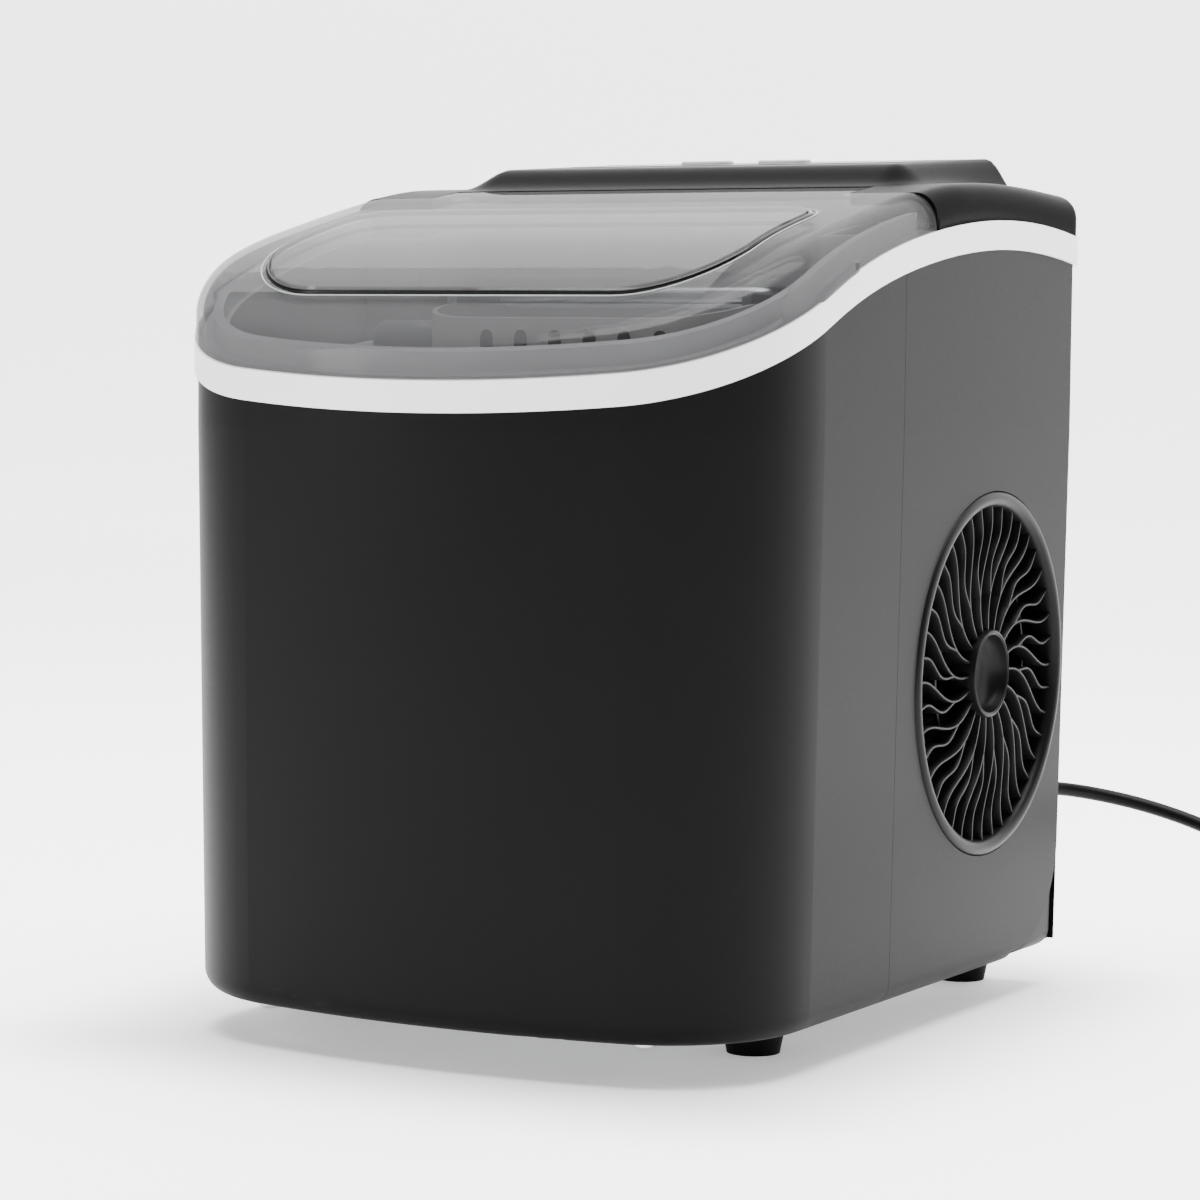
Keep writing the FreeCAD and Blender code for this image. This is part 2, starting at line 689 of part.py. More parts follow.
# the bracket's two arms hold the motor in front of the condenser
arm_low = box_between("arm_low", (56, "dims.fan_y - 6", PAN_TOP), (60, "dims.fan_y + 6", "dims.fan_z + 30"))
arm_plate = box_between("arm_plate", (60, "dims.fan_y - 18", "dims.fan_z - 18"),
                        (62, "dims.fan_y + 18", "dims.fan_z + 18"))
arm_foot = box_between("arm_foot", (56, "dims.fan_y - 16", PAN_TOP), (84, "dims.fan_y + 16", PAN_TOP + 2))
keep(fuse("motor_bracket_body", [arm_low, arm_plate, arm_foot]), "motor_bracket")

CONDENSER_X = (26, 50)
CONDENSER_Y = (18, 124)
CONDENSER_Z = (26, 168)


def condenser():
    """A fin block on a folded tube, with end plates that stand on the base pan."""
    low_x, high_x = CONDENSER_X
    fins = []
    for index in range(17):
        y = CONDENSER_Y[0] + 4 + index * 6
        fins.append(block((low_x, y, CONDENSER_Z[0]), (high_x, y + 1.2, CONDENSER_Z[1])))
    for y in CONDENSER_Y:
        fins.append(block((low_x, y - 1.5, PAN_TOP), (high_x, y + 1.5, CONDENSER_Z[1] + 2)))
    middle = (low_x + high_x) / 2
    for row in range(6):
        z = CONDENSER_Z[0] + 12 + row * 23.5
        fins.append(bar(3.5, (middle, CONDENSER_Y[0] - 8, z), (middle, CONDENSER_Y[1] + 8, z)))
    for row in range(5):
        z = CONDENSER_Z[0] + 12 + row * 23.5
        end = CONDENSER_Y[1] + 8 if row % 2 == 0 else CONDENSER_Y[0] - 8
        fins.append(bar(3.5, (middle, end, z - 3), (middle, end, z + 26.5)))
    return fins[0].multiFuse(fins[1:])


solid_piece("condenser", condenser())

COMPRESSOR = (-56, 88)


def compressor():
    """A welded steel can, domed at both ends, on a foot plate."""
    x, y = COMPRESSOR
    can = Part.makeCylinder(44, 118, Vector(x, y, 36), Z_AXIS)
    ends = [e for e in can.Edges if e.BoundBox.ZLength < 0.1]
    can = can.makeFillet(20, ends)
    seam = Part.makeCylinder(46, 4, Vector(x, y, 92), Z_AXIS)
    foot = rounded_block((x - 48, y - 42, 32), (x + 48, y + 42, 37), 12)
    for dx in (-38, 38):
        for dy in (-32, 32):
            foot = foot.cut(bar(4, (x + dx, y + dy, 30), (x + dx, y + dy, 40)))
    return can.fuse(seam).fuse(foot).fuse(bar(3.2, (x, y, 150), (x, y, 160))).removeSplitter()


solid_piece("compressor", compressor())

grommets = []
for dx in (-38, 38):
    for dy in (-32, 32):
        spot = (COMPRESSOR[0] + dx, COMPRESSOR[1] + dy)
        skirt = rod("grommet", 8, 32 - PAN_TOP, (spot[0], spot[1], PAN_TOP))
        neck = rod("grommet_neck", 4, 7, (spot[0], spot[1], 32))
        grommets.append(fuse("grommet_body", [skirt, neck]))
keep(group("compressor_mounts_group", grommets), "compressor_mounts")

terminal = box_between("terminal", (-20, 60, 60), (-9, 92, 100))
terminal_cut = rod("terminal_cut", 46.1, 60, (COMPRESSOR[0], COMPRESSOR[1], 50))
keep(cut("terminal_cover_body", terminal, terminal_cut), "terminal_cover")

pipe, _, _ = tube([(-56, 88, 160), (-56, 88, 171), (-40, 60, 172), (-6, 24, 172), (24, 12, 172),
                   (38, 13, 170), (38, 13, 158.4)], 2.5)
solid_piece("discharge_pipe", pipe)
pipe, _, _ = tube([(38, 9.98, 38), (38, -2, 38), (26, -8, 38), (8, -8, 38), (-4, 0, 40), (-4, 12, 46),
                   (-4, 12, 56)], 2)
solid_piece("liquid_pipe", pipe)
drier_can = rod("drier_can", 8, 56, (-4, 12, 60))
drier_low = rod("drier_low", 3, 4, (-4, 12, 56))
drier_high = rod("drier_high", 3, 4, (-4, 12, 116))
keep(fuse("drier_body", [drier_can, drier_low, drier_high]), "filter_drier")


# ---------------------------------------------------------------- water side

def tub():
    """White inner tank: deep in front, with a shallower chamber behind for the evaporator."""
    inset, wall = size("tub_inset"), size("tub_wall")
    floor, split = size("tub_floor"), size("tub_split_y")
    left, right = size("chamber_left"), size("chamber_right")
    chamber_z, chamber_y = size("chamber_floor"), size("chamber_rear_y")

    def room(step):
        deep = Part.Face(outline(floor + step, inset + step)).extrude(Vector(0, 0, 240))
        deep = deep.common(half_space(FRONT, split + wall - step))
        high = block((left + step, -10, chamber_z + step), (right - step, chamber_y - step, 340))
        return deep.fuse(high)

    shape = room(0).cut(room(wall)).common(below(BAND_LINE, size("band_height")))
    ribs = [block((-8, y, floor + 1), (96, y + 6, 124)) for y in (-108, -66)]
    divider = block((-44, -60, floor + 1), (-26, -58, 256)).fuse(block((-30, -60, floor + 1), (-22, -58, 252)))
    shape = shape.multiFuse(ribs + [divider])
    axis_y, axis_z = size("tray_axis_y"), size("tray_axis_z")
    bearing = size("tray_shaft_radius") + 0.05
    shape = shape.cut(bar(bearing, (left - 5, axis_y, axis_z), (left + 5, axis_y, axis_z)))
    shape = shape.cut(bar(bearing, (right - 5, axis_y, axis_z), (right + 5, axis_y, axis_z)))
    shape = shape.cut(bar(3.5, (DRAIN_X, DRAIN_Y, floor - 1), (DRAIN_X, DRAIN_Y, floor + 4)))
    for radius, y in ((1.4, 14), (3.4, 33)):
        shape = shape.cut(bar(radius, (left - 8, y, PIPE_Z), (left + 4, y, PIPE_Z)))
    return shape.removeSplitter()


DRAIN_X = -84
PIPE_Z = size("evaporator_z") + 6
solid_piece("water_tub", tub())

# rigid foam round the deep part of the tub, open where pipes and the drain pass
FOAM = 6


def foam():
    inset, floor, split = size("tub_inset"), size("tub_floor"), size("tub_split_y")
    outer = Part.Face(outline(floor - FOAM, inset - FOAM + 2.4)).extrude(Vector(0, 0, 116))
    outer = outer.common(half_space(FRONT, split + 2))
    inner = Part.Face(outline(floor - 0.1, inset - 0.1)).extrude(Vector(0, 0, 120))
    drain = bar(6, (DRAIN_X, DRAIN_Y, floor - 10), (DRAIN_X, DRAIN_Y, floor + 2))
    return outer.cut(inner).cut(drain)


solid_piece("foam_jacket", foam())

BASKET = ((-22, -116, 124), (98, -46, 300))
BASKET_LINE = [(-160, 250), (-118, 258), (-80, 264), (-46, 262), (-20, 260)]


def ice_basket():
    """A round-cornered bin with a row of tall slots near its rim and a slotted floor."""
    low, high = BASKET
    wall = 1.8
    outer = rounded_block(low, high, 24)
    inner = rounded_block((low[0] + wall, low[1] + wall, low[2] + wall),
                          (high[0] - wall, high[1] - wall, high[2]), 24 - wall)
    shape = outer.cut(inner).common(below(BASKET_LINE))
    for index in range(6):
        x = 8 + index * 13.5
        shape = shape.cut(rounded_slot((x, low[1] - 2, 238), (x + 5, low[1] + 4, 251), "y"))
    for index in range(4):
        y = low[1] + 20 + index * 12.5
        shape = shape.cut(rounded_slot((high[0] - 4, y, 240), (high[0] + 2, y + 5, 256), "x"))
    for row in range(5):
        x = 2 + row * 18
        shape = shape.cut(block((x, low[1] + 14, low[2] - 1), (x + 4, high[1] - 14, low[2] + 3)))
    return shape


def rounded_slot(low, high, along):
    shape = block(low, high)
    part = {"x": lambda v: abs(v.x), "y": lambda v: abs(v.y)}[along]
    edges = [e for e in shape.Edges if part(e.tangentAt(e.FirstParameter)) > 0.99]
    return shape.makeFillet(2.2, edges)


solid_piece("ice_basket", ice_basket())


def water_tray():
    """A trough under the fingers, with two ears on the drive shaft behind it."""
    half, wall = size("tray_half"), size("tray_wall")
    front_y, rear_y = size("tray_front_y"), size("tray_rear_y")
    low, high = size("tray_low"), size("tray_high")
    outer = block((-half, front_y, low), (half, rear_y, high))
    under = [e for e in outer.Edges if e.BoundBox.ZMax < low + 0.1 and e.BoundBox.XLength > 10]
    outer = outer.makeFillet(6, under)
    inner = block((-half + wall, front_y + wall, low + wall), (half - wall, rear_y - wall, high + 1))
    under = [e for e in inner.Edges if e.BoundBox.ZMax < low + wall + 0.1 and e.BoundBox.XLength > 10]
    shape = outer.cut(inner.makeFillet(4.5, under))
    axis_y, axis_z = size("tray_axis_y"), size("tray_axis_z")
    shaft = size("tray_shaft_radius")
    for x in (-half, half - 8):
        ear = block((x, rear_y - 0.5, axis_z - 5), (x + 8, axis_y, axis_z + 4))
        ear = ear.fuse(bar(5, (x, axis_y, axis_z), (x + 8, axis_y, axis_z)))
        ear = ear.common(block((x, rear_y - 0.5, 200), (x + 8, axis_y + 8, high)))
        shape = shape.fuse(ear)
    return shape.cut(bar(shaft, (-half - 1, axis_y, axis_z), (half + 1, axis_y, axis_z))).removeSplitter()


solid_piece("water_tray", water_tray())
keep(rod("tray_shaft_rod", "dims.tray_shaft_radius", 180, (-98, "dims.tray_axis_y", "dims.tray_axis_z"), "x"),
     "tray_shaft")

tray_motor = box_between("tray_motor_box", (-114, "dims.tray_axis_y - 16", "dims.tray_axis_z - 18"),
                         (-91, "dims.tray_axis_y + 16", "dims.tray_axis_z + 18"))
tray_motor_bore = rod("tray_motor_bore", "dims.tray_shaft_radius + 0.05", 12,
                      (-100, "dims.tray_axis_y", "dims.tray_axis_z"), "x")
keep(cut("tray_motor_body", tray_motor, tray_motor_bore), "tray_motor")


def evaporator():
    """A plate with two rows of plated fingers and the refrigerant tube folded over it."""
    low_z = size("evaporator_z")
    plate = block((-60, 6, low_z), (60, 41, low_z + 3))
    pieces = []
    for x in range(-48, 49, 24):
        for y in (14, 33):
            finger = bar(size("finger_radius"), (x, y, size("finger_low")), (x, y, low_z + 1))
            tip = [e for e in finger.Edges if e.BoundBox.ZMax < size("finger_low") + 0.1]
            pieces.append(finger.makeFillet(3, tip))
    pipe, _, _ = tube([(-70, 14, low_z + 6), (-20, 14, low_z + 6), (40, 14, low_z + 6.01), (52, 14, low_z + 6),
                       (52, 33, low_z + 6), (-20, 33, low_z + 6.01), (-60, 33, low_z + 6)], 3.4)
    return plate.multiFuse(pieces + [pipe])


solid_piece("evaporator", evaporator())

# two brackets on the chamber walls carry the evaporator and the swinging flap
bars = []
for index, (x_low, x_high) in enumerate(((-64, -60), (60, 64))):
    bars.append(box_between(f"frame_bar_{index}", (x_low, -20, "dims.evaporator_z - 5"),
                            (x_high, 44, "dims.evaporator_z + 6")))
tie_left = box_between("frame_tie_left", ("dims.chamber_left + dims.tub_wall", 19, "dims.evaporator_z + 2"),
                       (-64, 28, "dims.evaporator_z + 6"))
tie_right = box_between("frame_tie_right", (64, 19, "dims.evaporator_z + 2"),
                        ("dims.chamber_right - dims.tub_wall", 28, "dims.evaporator_z + 6"))
frame_body = fuse("frame_fuse", bars + [tie_left, tie_right])
flap_bore = rod("flap_bore", 2, 140, (-70, -15, "dims.evaporator_z - 1"), "x")
pipe_pass = rod("pipe_pass", 3.5, 30, (-76, 14, "dims.evaporator_z + 6"), "x")
pipe_pass_rear = rod("pipe_pass_rear", 3.5, 30, (-76, 33, "dims.evaporator_z + 6"), "x")
passages = fuse("frame_passages", [flap_bore, pipe_pass, pipe_pass_rear])
keep(cut("evaporator_brackets_body", frame_body, passages), "evaporator_brackets")
keep(rod("flap_pin_rod", 2, 128, (-64, -15, "dims.evaporator_z - 1"), "x"), "flap_pin")


def ice_flap():
    """A comb that hangs from its pin and lets the ice tumble forward into the basket."""
    low_z = size("evaporator_z")
    barrel = bar(3.6, (-59, -15, low_z - 1), (59, -15, low_z - 1))
    comb = block((-59, -16, low_z - 30), (59, -14, low_z - 2))
    for index in range(8):
        x = -50 + index * 13
        comb = comb.cut(block((x, -20, low_z - 31), (x + 6, -10, low_z - 9)))
    shape = barrel.fuse(comb)
    return shape.cut(bar(2.05, (-60, -15, low_z - 1), (60, -15, low_z - 1))).removeSplitter()


solid_piece("ice_flap", ice_flap())

SENSOR = ((-78, -56, size("tub_floor") + size("tub_wall")), (-50, -28, 258))


def sensor_housing():
    """A round-topped block that looks across the basket for ice."""
    low, high = SENSOR
    shape = rounded_block(low, high, 9)
    top = [e for e in shape.Edges if e.BoundBox.ZMin > high[2] - 0.1]
    shape = shape.makeFillet(6, top)
    return shape.cut(bar(4, (-64, low[1] - 1, 244), (-64, low[1] + 6, 244)))


solid_piece("ice_sensor_housing", sensor_housing())
keep(rod("ice_sensor_eye_rod", 4, 7, (-64, SENSOR[0][1] - 1, 244), "y"), "ice_sensor_eye")
spout_tube = rod("spout_tube", 3, 8, (-55, SENSOR[0][1] - 8, 242), "y")
spout_neck = rod("spout_neck", 4.5, 2, (-55, SENSOR[0][1] - 2, 242), "y")
keep(fuse("sensor_spout_body", [spout_tube, spout_neck]), "overflow_spout")

pump_can = rod("pump_can", 15, 26, (-94, -78, "dims.tub_floor + dims.tub_wall"))
pump_top = rod("pump_top", 4, 8, (-94, -78, "dims.tub_floor + dims.tub_wall + 26"))
keep(fuse("water_pump_body", [pump_can, pump_top]), "water_pump")
PUMP_OUT = (-94, -78, size("tub_floor") + size("tub_wall") + 34)
hose, _, _ = tube([PUMP_OUT, (-94, -78, 170), (-96, -60, 215), (-96, -40, 246), (-92, -14, 248),
                   (-74, -6, 248), (-74, 20, 248), (-57, 20, 248)], 3.2, 2)
solid_piece("water_hose", hose)

stem = rod("float_stem", 2.5, 46, (-60, -106, "dims.tub_floor + dims.tub_wall"))
stem_head = rod("float_head", 5, 3, (-60, -106, "dims.tub_floor + dims.tub_wall + 46"))
keep(fuse("level_switch_body", [stem, stem_head]), "level_switch_stem")
float_can = rod("float_can", 10, 14, (-60, -106, "dims.tub_floor + dims.tub_wall + 2"))
float_bore = rod("float_bore", 2.6, 20, (-60, -106, "dims.tub_floor + dims.tub_wall"))
keep(cut("level_float_body", float_can, float_bore), "level_float")

# drain: hose under the tub to a bush low on the left side, closed by a plug
side_inner = -side_x(DRAIN_Z) + WALL
fitting = bar(DRAIN_RADIUS, (side_inner + 8, DRAIN_Y, DRAIN_Z), (side_inner - WALL, DRAIN_Y, DRAIN_Z))
fitting = fitting.fuse(bar(DRAIN_RADIUS + 3, (side_inner + 3, DRAIN_Y, DRAIN_Z), (side_inner + 0.5, DRAIN_Y, DRAIN_Z)))
fitting = fitting.fuse(bar(5, (side_inner + 8, DRAIN_Y, DRAIN_Z), (side_inner + 16, DRAIN_Y, DRAIN_Z)))
fitting = fitting.cut(bar(3.5, (side_inner + 17, DRAIN_Y, DRAIN_Z), (side_inner - 10, DRAIN_Y, DRAIN_Z)))
fitting = fitting.cut(bar(6.5, (side_inner + 6, DRAIN_Y, DRAIN_Z), (side_inner - 10, DRAIN_Y, DRAIN_Z)))
solid_piece("drain_fitting", fitting.removeSplitter())
plug_shape = bar(6.4, (side_inner + 5, DRAIN_Y, DRAIN_Z), (side_inner - WALL, DRAIN_Y, DRAIN_Z))
plug_shape = plug_shape.fuse(bar(10, (side_inner - WALL - 0.5, DRAIN_Y, DRAIN_Z),
                                 (side_inner - WALL - 3, DRAIN_Y, DRAIN_Z)))
plug_shape = plug_shape.fuse(bar(6, (side_inner - WALL, DRAIN_Y, DRAIN_Z),
                                 (side_inner - WALL - 0.6, DRAIN_Y, DRAIN_Z)))
solid_piece("drain_plug", plug_shape.removeSplitter())
hose, _, _ = tube([(DRAIN_X, DRAIN_Y, size("tub_floor") + size("tub_wall")), (DRAIN_X, DRAIN_Y, 74),
                   (DRAIN_X - 2, DRAIN_Y, 52), (DRAIN_X - 12, DRAIN_Y, DRAIN_Z),
                   (side_inner + 16, DRAIN_Y, DRAIN_Z)], 3.4, 2.2)
solid_piece("drain_hose", hose)

pipe, _, _ = tube([(-60, 33, PIPE_Z), (-98, 33, PIPE_Z), (-105, 44, PIPE_Z), (-105, 72, 262),
                   (-104, 98, 232), (-98, 108, 196), (-80, 100, 174), (-69, 95, 166), (-69, 95, 154.05)], 3.2)
solid_piece("suction_pipe", pipe)
pipe, _, _ = tube([(-4, 12, 120), (-4, 12, 140), (-4, 30, 165), (-40, 90, 174), (-92, 92, 190),
                   (-100, 66, 211), (-100, 26, 213), (-103, 10, 232), (-103, 12, 256), (-97, 14, PIPE_Z),
                   (-70, 14, PIPE_Z)], 1.2)
solid_piece("capillary_tube", pipe)

# ---------------------------------------------------------------- base, feet, boards, screws

pan = Part.Face(outline(PAN_LOW, 13.2)).extrude(Vector(0, 0, 1.5))
pan = pan.fuse(block((-105, 60, PAN_LOW), (105, 139.5, PAN_TOP))).removeSplitter()
solid_piece("base_pan", pan)

feet = []
for x in ("-dims.foot_x", "dims.foot_x"):
    for y in ("dims.foot_front_y", "dims.foot_rear_y"):
        pad = bound("Part::Cone", "foot_pad", Radius1="dims.foot_radius - 1.2", Radius2="dims.foot_radius",
                    Height="6")
        put(pad, x, y, 0)
        body = rod("foot_body", "dims.foot_radius", PAN_LOW - 6, (x, y, 6))
        feet.append(fuse("foot", [pad, body]))
keep(group("rubber_feet_group", feet), "rubber_feet")

heads = []
for x, y in SHELL_SCREWS:
    head = Part.makeCylinder(4.6, 3, Vector(x, y, BASE - 3), Z_AXIS)
    lower = [e for e in head.Edges if e.BoundBox.ZMax < BASE - 2.9]
    head = head.makeFillet(2.2, lower)
    heads.append(head.fuse(bar(1.9, (x, y, BASE - 0.5), (x, y, PAN_LOW))))
solid_piece("shell_screws", Part.makeCompound(heads))

heads = []
for x, z in REAR_SCREWS:
    face_y = cover_y(z) + 0.06
    head = Part.makeCylinder(3.4, 2, Vector(x, face_y, z), Y_AXIS)
    outer_edge = [e for e in head.Edges if e.BoundBox.YMin > face_y + 1.5]
    heads.append(head.makeFillet(1, outer_edge).fuse(bar(1.5, (x, face_y - 8, z), (x, face_y + 1, z))))
solid_piece("rear_screws", Part.makeCompound(heads))

board_plate = box_between("power_board_plate", (-60, 134, 184), (60, 135.6, 270))
transformer = box_between("transformer", (-50, 110, 206), (-14, 134, 236))
relays = [box_between(f"relay_{index}", (x, 118, 210), (x + 16, 134, 230)) for index, x in enumerate((0, 22))]
keep(fuse("power_board_body", [board_plate, transformer] + relays), "power_board")
holder = box_between("board_holder", (-64, 135.6, 186), (64, 142.4, 190))
holder_top = box_between("board_holder_top", (-64, 135.6, 264), (64, 142.6, 268))
keep(group("board_rails_group", [holder, holder_top]), "board_rails")

# ---------------------------------------------------------------- power cord

CORD = size("cord_radius")
GLAND_X = size("cord_exit_x")
GLAND_Z = size("cord_exit_z")
RELIEF_END = REAR + 34


def strain_relief():
    """A moulded sleeve: flange outside, neck through the cover, ribbed taper over the cord."""
    def ring(radius, y_low, y_high):
        return bar(radius, (GLAND_X, y_low, GLAND_Z), (GLAND_X, y_high, GLAND_Z))

    inner_end = REAR - 12
    face_y = cover_y(GLAND_Z)
    sleeve = Part.makeCone(6.2, 3.9, RELIEF_END - REAR, Vector(GLAND_X, REAR, GLAND_Z), Y_AXIS)
    shape = ring(6.4, inner_end, REAR).fuse(ring(8.5, face_y + 0.15, face_y + 3)).fuse(sleeve)
    shape = shape.fuse(ring(8, inner_end, face_y - COVER_WALL - 0.15))
    for index in range(4):
        y = REAR + 8 + index * 6
        groove = ring(8, y, y + 1.8).cut(ring(4.2, y - 1, y + 3))
        shape = shape.cut(groove)
    return shape.cut(ring(CORD, RELIEF_END - 1.5, RELIEF_END + 1)).removeSplitter()


solid_piece("strain_relief", strain_relief())

COIL_X, COIL_Y = 292, 196
COIL_ENTRY = 215
COIL_EXIT = 30
STRAND_RADIUS = size("coil_outer") - CORD


def on_coil(angle, z):
    """A point on the coil's outermost strand."""
    turn = math.radians(angle)
    return (COIL_X + STRAND_RADIUS * math.cos(turn), COIL_Y + STRAND_RADIUS * math.sin(turn), z)


LEAD_ROUTE = [
    (GLAND_X, RELIEF_END - 1.5, GLAND_Z), (GLAND_X, 203, GLAND_Z), (97, 221, 67), (122, 230, 62),
    (150, 230.5, 54.5), (180, 226, 43), (207, 218.5, 30), (230, 208, 17), (248, 194, 8),
    on_coil(COIL_ENTRY, 4),
]
PLUG_X, PLUG_Y, PLUG_Z = 307, 268, 11
TAIL_ROUTE = [on_coil(COIL_EXIT, 9), (312, 232, 10), (PLUG_X, 250, PLUG_Z), (PLUG_X, PLUG_Y, PLUG_Z)]

for label, route in (("power_cord", LEAD_ROUTE), ("cord_tail", TAIL_ROUTE)):
    run, radii, length = tube(route, CORD)
    solid_piece(label, run)
    section = math.pi * CORD ** 2
    print(label, "radii", radii, "length", round(length, 1), "volume ratio", round(run.Volume / (section * length), 4))

coil = Part.makeCylinder(size("coil_outer"), size("coil_height"), Vector(COIL_X, COIL_Y, 0), Z_AXIS)
coil = coil.cut(Part.makeCylinder(size("coil_inner"), size("coil_height"), Vector(COIL_X, COIL_Y, 0), Z_AXIS))
solid_piece("cord_coil", coil.makeFillet(CORD, [e for e in coil.Edges if e.BoundBox.ZLength < 0.1]))

plug_low = (PLUG_X - 12, PLUG_Y + 10, PLUG_Z - 10.5)
plug_high = (PLUG_X + 12, PLUG_Y + 38, PLUG_Z + 10.5)
plug_body = block(plug_low, plug_high)
plug_body = plug_body.makeFillet(5, [e for e in plug_body.Edges if e.BoundBox.YLength > 20])
neck = Part.makeCone(4, 7, 13, Vector(PLUG_X, PLUG_Y, PLUG_Z), Y_AXIS)
solid_piece("power_plug", plug_body.fuse(neck).removeSplitter())
blades = []
for side in (-1, 1):
    x = PLUG_X + side * 6.35
    blades.append(block((x - 0.75, plug_high[1], PLUG_Z - 1.5), (x + 0.75, plug_high[1] + 17, PLUG_Z + 4.8)))
earth = bar(2.4, (PLUG_X, plug_high[1], PLUG_Z - 6.5), (PLUG_X, plug_high[1] + 19, PLUG_Z - 6.5))
solid_piece("plug_pins", Part.makeCompound(blades + [earth]))

# ---------------------------------------------------------------- checks and export

doc.recompute()
for obj in doc.Objects:
    if "Invalid" in obj.State or "Error" in obj.State:
        raise RuntimeError(f"{obj.Label} failed: {obj.State}")
labels = [obj.Label for obj in NODES]
if len(labels) != len(set(labels)) or len(labels) > 60:
    raise RuntimeError("labels must be unique, and at most 60")
for obj in NODES:
    if obj.Shape.isNull() or not obj.Shape.isValid() or not obj.Shape.Solids:
        raise RuntimeError(f"{obj.Label} has no valid solid")
for obj in NODES:
    obj.Shape.exportStep(f"parts/{obj.Label}.step")
print(len(NODES), "pieces written")
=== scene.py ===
import json
import math

import bmesh
import bpy
from mathutils import Matrix, Vector
from mathutils.bvhtree import BVHTree


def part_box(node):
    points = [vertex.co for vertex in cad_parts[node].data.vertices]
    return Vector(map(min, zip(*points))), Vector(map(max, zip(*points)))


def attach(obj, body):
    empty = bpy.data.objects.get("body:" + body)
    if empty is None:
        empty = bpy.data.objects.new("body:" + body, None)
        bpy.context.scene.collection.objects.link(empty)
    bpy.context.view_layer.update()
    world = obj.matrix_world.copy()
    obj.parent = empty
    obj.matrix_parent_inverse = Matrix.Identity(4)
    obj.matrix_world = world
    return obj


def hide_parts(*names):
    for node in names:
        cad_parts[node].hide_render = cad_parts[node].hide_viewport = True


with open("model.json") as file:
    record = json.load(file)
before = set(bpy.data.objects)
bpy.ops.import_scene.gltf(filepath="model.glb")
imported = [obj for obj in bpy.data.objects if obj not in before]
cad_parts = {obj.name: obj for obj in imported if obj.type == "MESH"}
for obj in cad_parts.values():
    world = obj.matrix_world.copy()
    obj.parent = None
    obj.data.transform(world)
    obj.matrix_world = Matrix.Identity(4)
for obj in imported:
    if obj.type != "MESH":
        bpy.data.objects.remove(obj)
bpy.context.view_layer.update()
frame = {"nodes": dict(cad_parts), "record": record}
nodes = frame["nodes"]
MM = 0.001


def mm(x, y, z):
    return Vector((x, y, z)) * MM


# ---------------------------------------------------------------- camera

RIGHT = Vector((0.87362, 0.48653, 0.00939))
UP = Vector((-0.04155, 0.05536, 0.99760))
BACK = Vector((0.48484, -0.87191, 0.06857))
EYE = mm(674.03, -1227.17, 250.44)
FOCAL_MM = 112.52


def make_camera():
    """A long lens a little above the machine's middle, turned towards its right side."""
    data = bpy.data.cameras.new("camera")
    data.lens = FOCAL_MM
    data.sensor_width = 36
    data.clip_end = 50
    camera = bpy.data.objects.new("camera", data)
    turn = Matrix((RIGHT, UP, BACK)).transposed().to_4x4()
    camera.matrix_world = Matrix.Translation(EYE) @ turn
    bpy.context.scene.collection.objects.link(camera)
    bpy.context.scene.camera = camera


make_camera()


# ---------------------------------------------------------------- materials

def new_material(name):
    """An empty node material with its shader, its output and the piece's own coordinates."""
    material = bpy.data.materials.new(name)
    material.use_nodes = True
    tree = material.node_tree
    shader = tree.nodes["Principled BSDF"]
    place = tree.nodes.new("ShaderNodeTexCoord")
    return material, tree, shader, place.outputs["Object"]


def noise(tree, place, scale, detail=3, stretch=None):
    """A noise value, drawn out along one axis when stretch is given."""
    texture = tree.nodes.new("ShaderNodeTexNoise")
    texture.inputs["Scale"].default_value = scale
    texture.inputs["Detail"].default_value = detail
    if stretch:
        mapping = tree.nodes.new("ShaderNodeMapping")
        mapping.inputs["Scale"].default_value = stretch
        tree.links.new(place, mapping.inputs["Vector"])
        place = mapping.outputs["Vector"]
    tree.links.new(place, texture.inputs["Vector"])
    return texture.outputs["Fac"]


def spread(tree, value, low, high):
    """A value moved from the noise's usual band to the band low to high."""
    node = tree.nodes.new("ShaderNodeMapRange")
    node.inputs["From Min"].default_value = 0.3
    node.inputs["From Max"].default_value = 0.7
    node.inputs["To Min"].default_value = low
    node.inputs["To Max"].default_value = high
    tree.links.new(value, node.inputs["Value"])
    return node.outputs["Result"]


def two_tone(tree, value, dark, light):
    """A colour between dark and light, led by a value."""
    ramp = tree.nodes.new("ShaderNodeValToRGB")
    ramp.color_ramp.elements[0].position = 0.3
    ramp.color_ramp.elements[0].color = (*dark, 1)
    ramp.color_ramp.elements[1].position = 0.7
    ramp.color_ramp.elements[1].color = (*light, 1)
    tree.links.new(value, ramp.inputs["Fac"])
    return ramp.outputs["Color"]


def bump(tree, height, strength, distance):
    node = tree.nodes.new("ShaderNodeBump")
    node.inputs["Strength"].default_value = strength
    node.inputs["Distance"].default_value = distance
    tree.links.new(height, node.inputs["Height"])
    return node.outputs["Normal"]


def surface(name, tone, rough, vary=0.06, grain=1500, depth=0.15, metallic=0.0, stretch=None,
            specular=0.5, coat=0.0):
    """A moulded, cast or brushed surface: slow colour drift, uneven gloss and a fine grain."""
    material, tree, shader, place = new_material(name)
    drift = noise(tree, place, 14)
    dark = [c * (1 - vary) for c in tone]
    light = [min(c * (1 + vary), 1) for c in tone]
    tree.links.new(two_tone(tree, drift, dark, light), shader.inputs["Base Color"])
    fine = noise(tree, place, grain, 2, stretch)
    tree.links.new(spread(tree, fine, rough * 0.88, min(rough * 1.12, 1)), shader.inputs["Roughness"])
    tree.links.new(bump(tree, fine, depth, 0.0002), shader.inputs["Normal"])
    shader.inputs["Metallic"].default_value = metallic
    shader.inputs["Specular IOR Level"].default_value = specular
    shader.inputs["Coat Weight"].default_value = coat
    shader.inputs["Coat Roughness"].default_value = 0.1
    return material


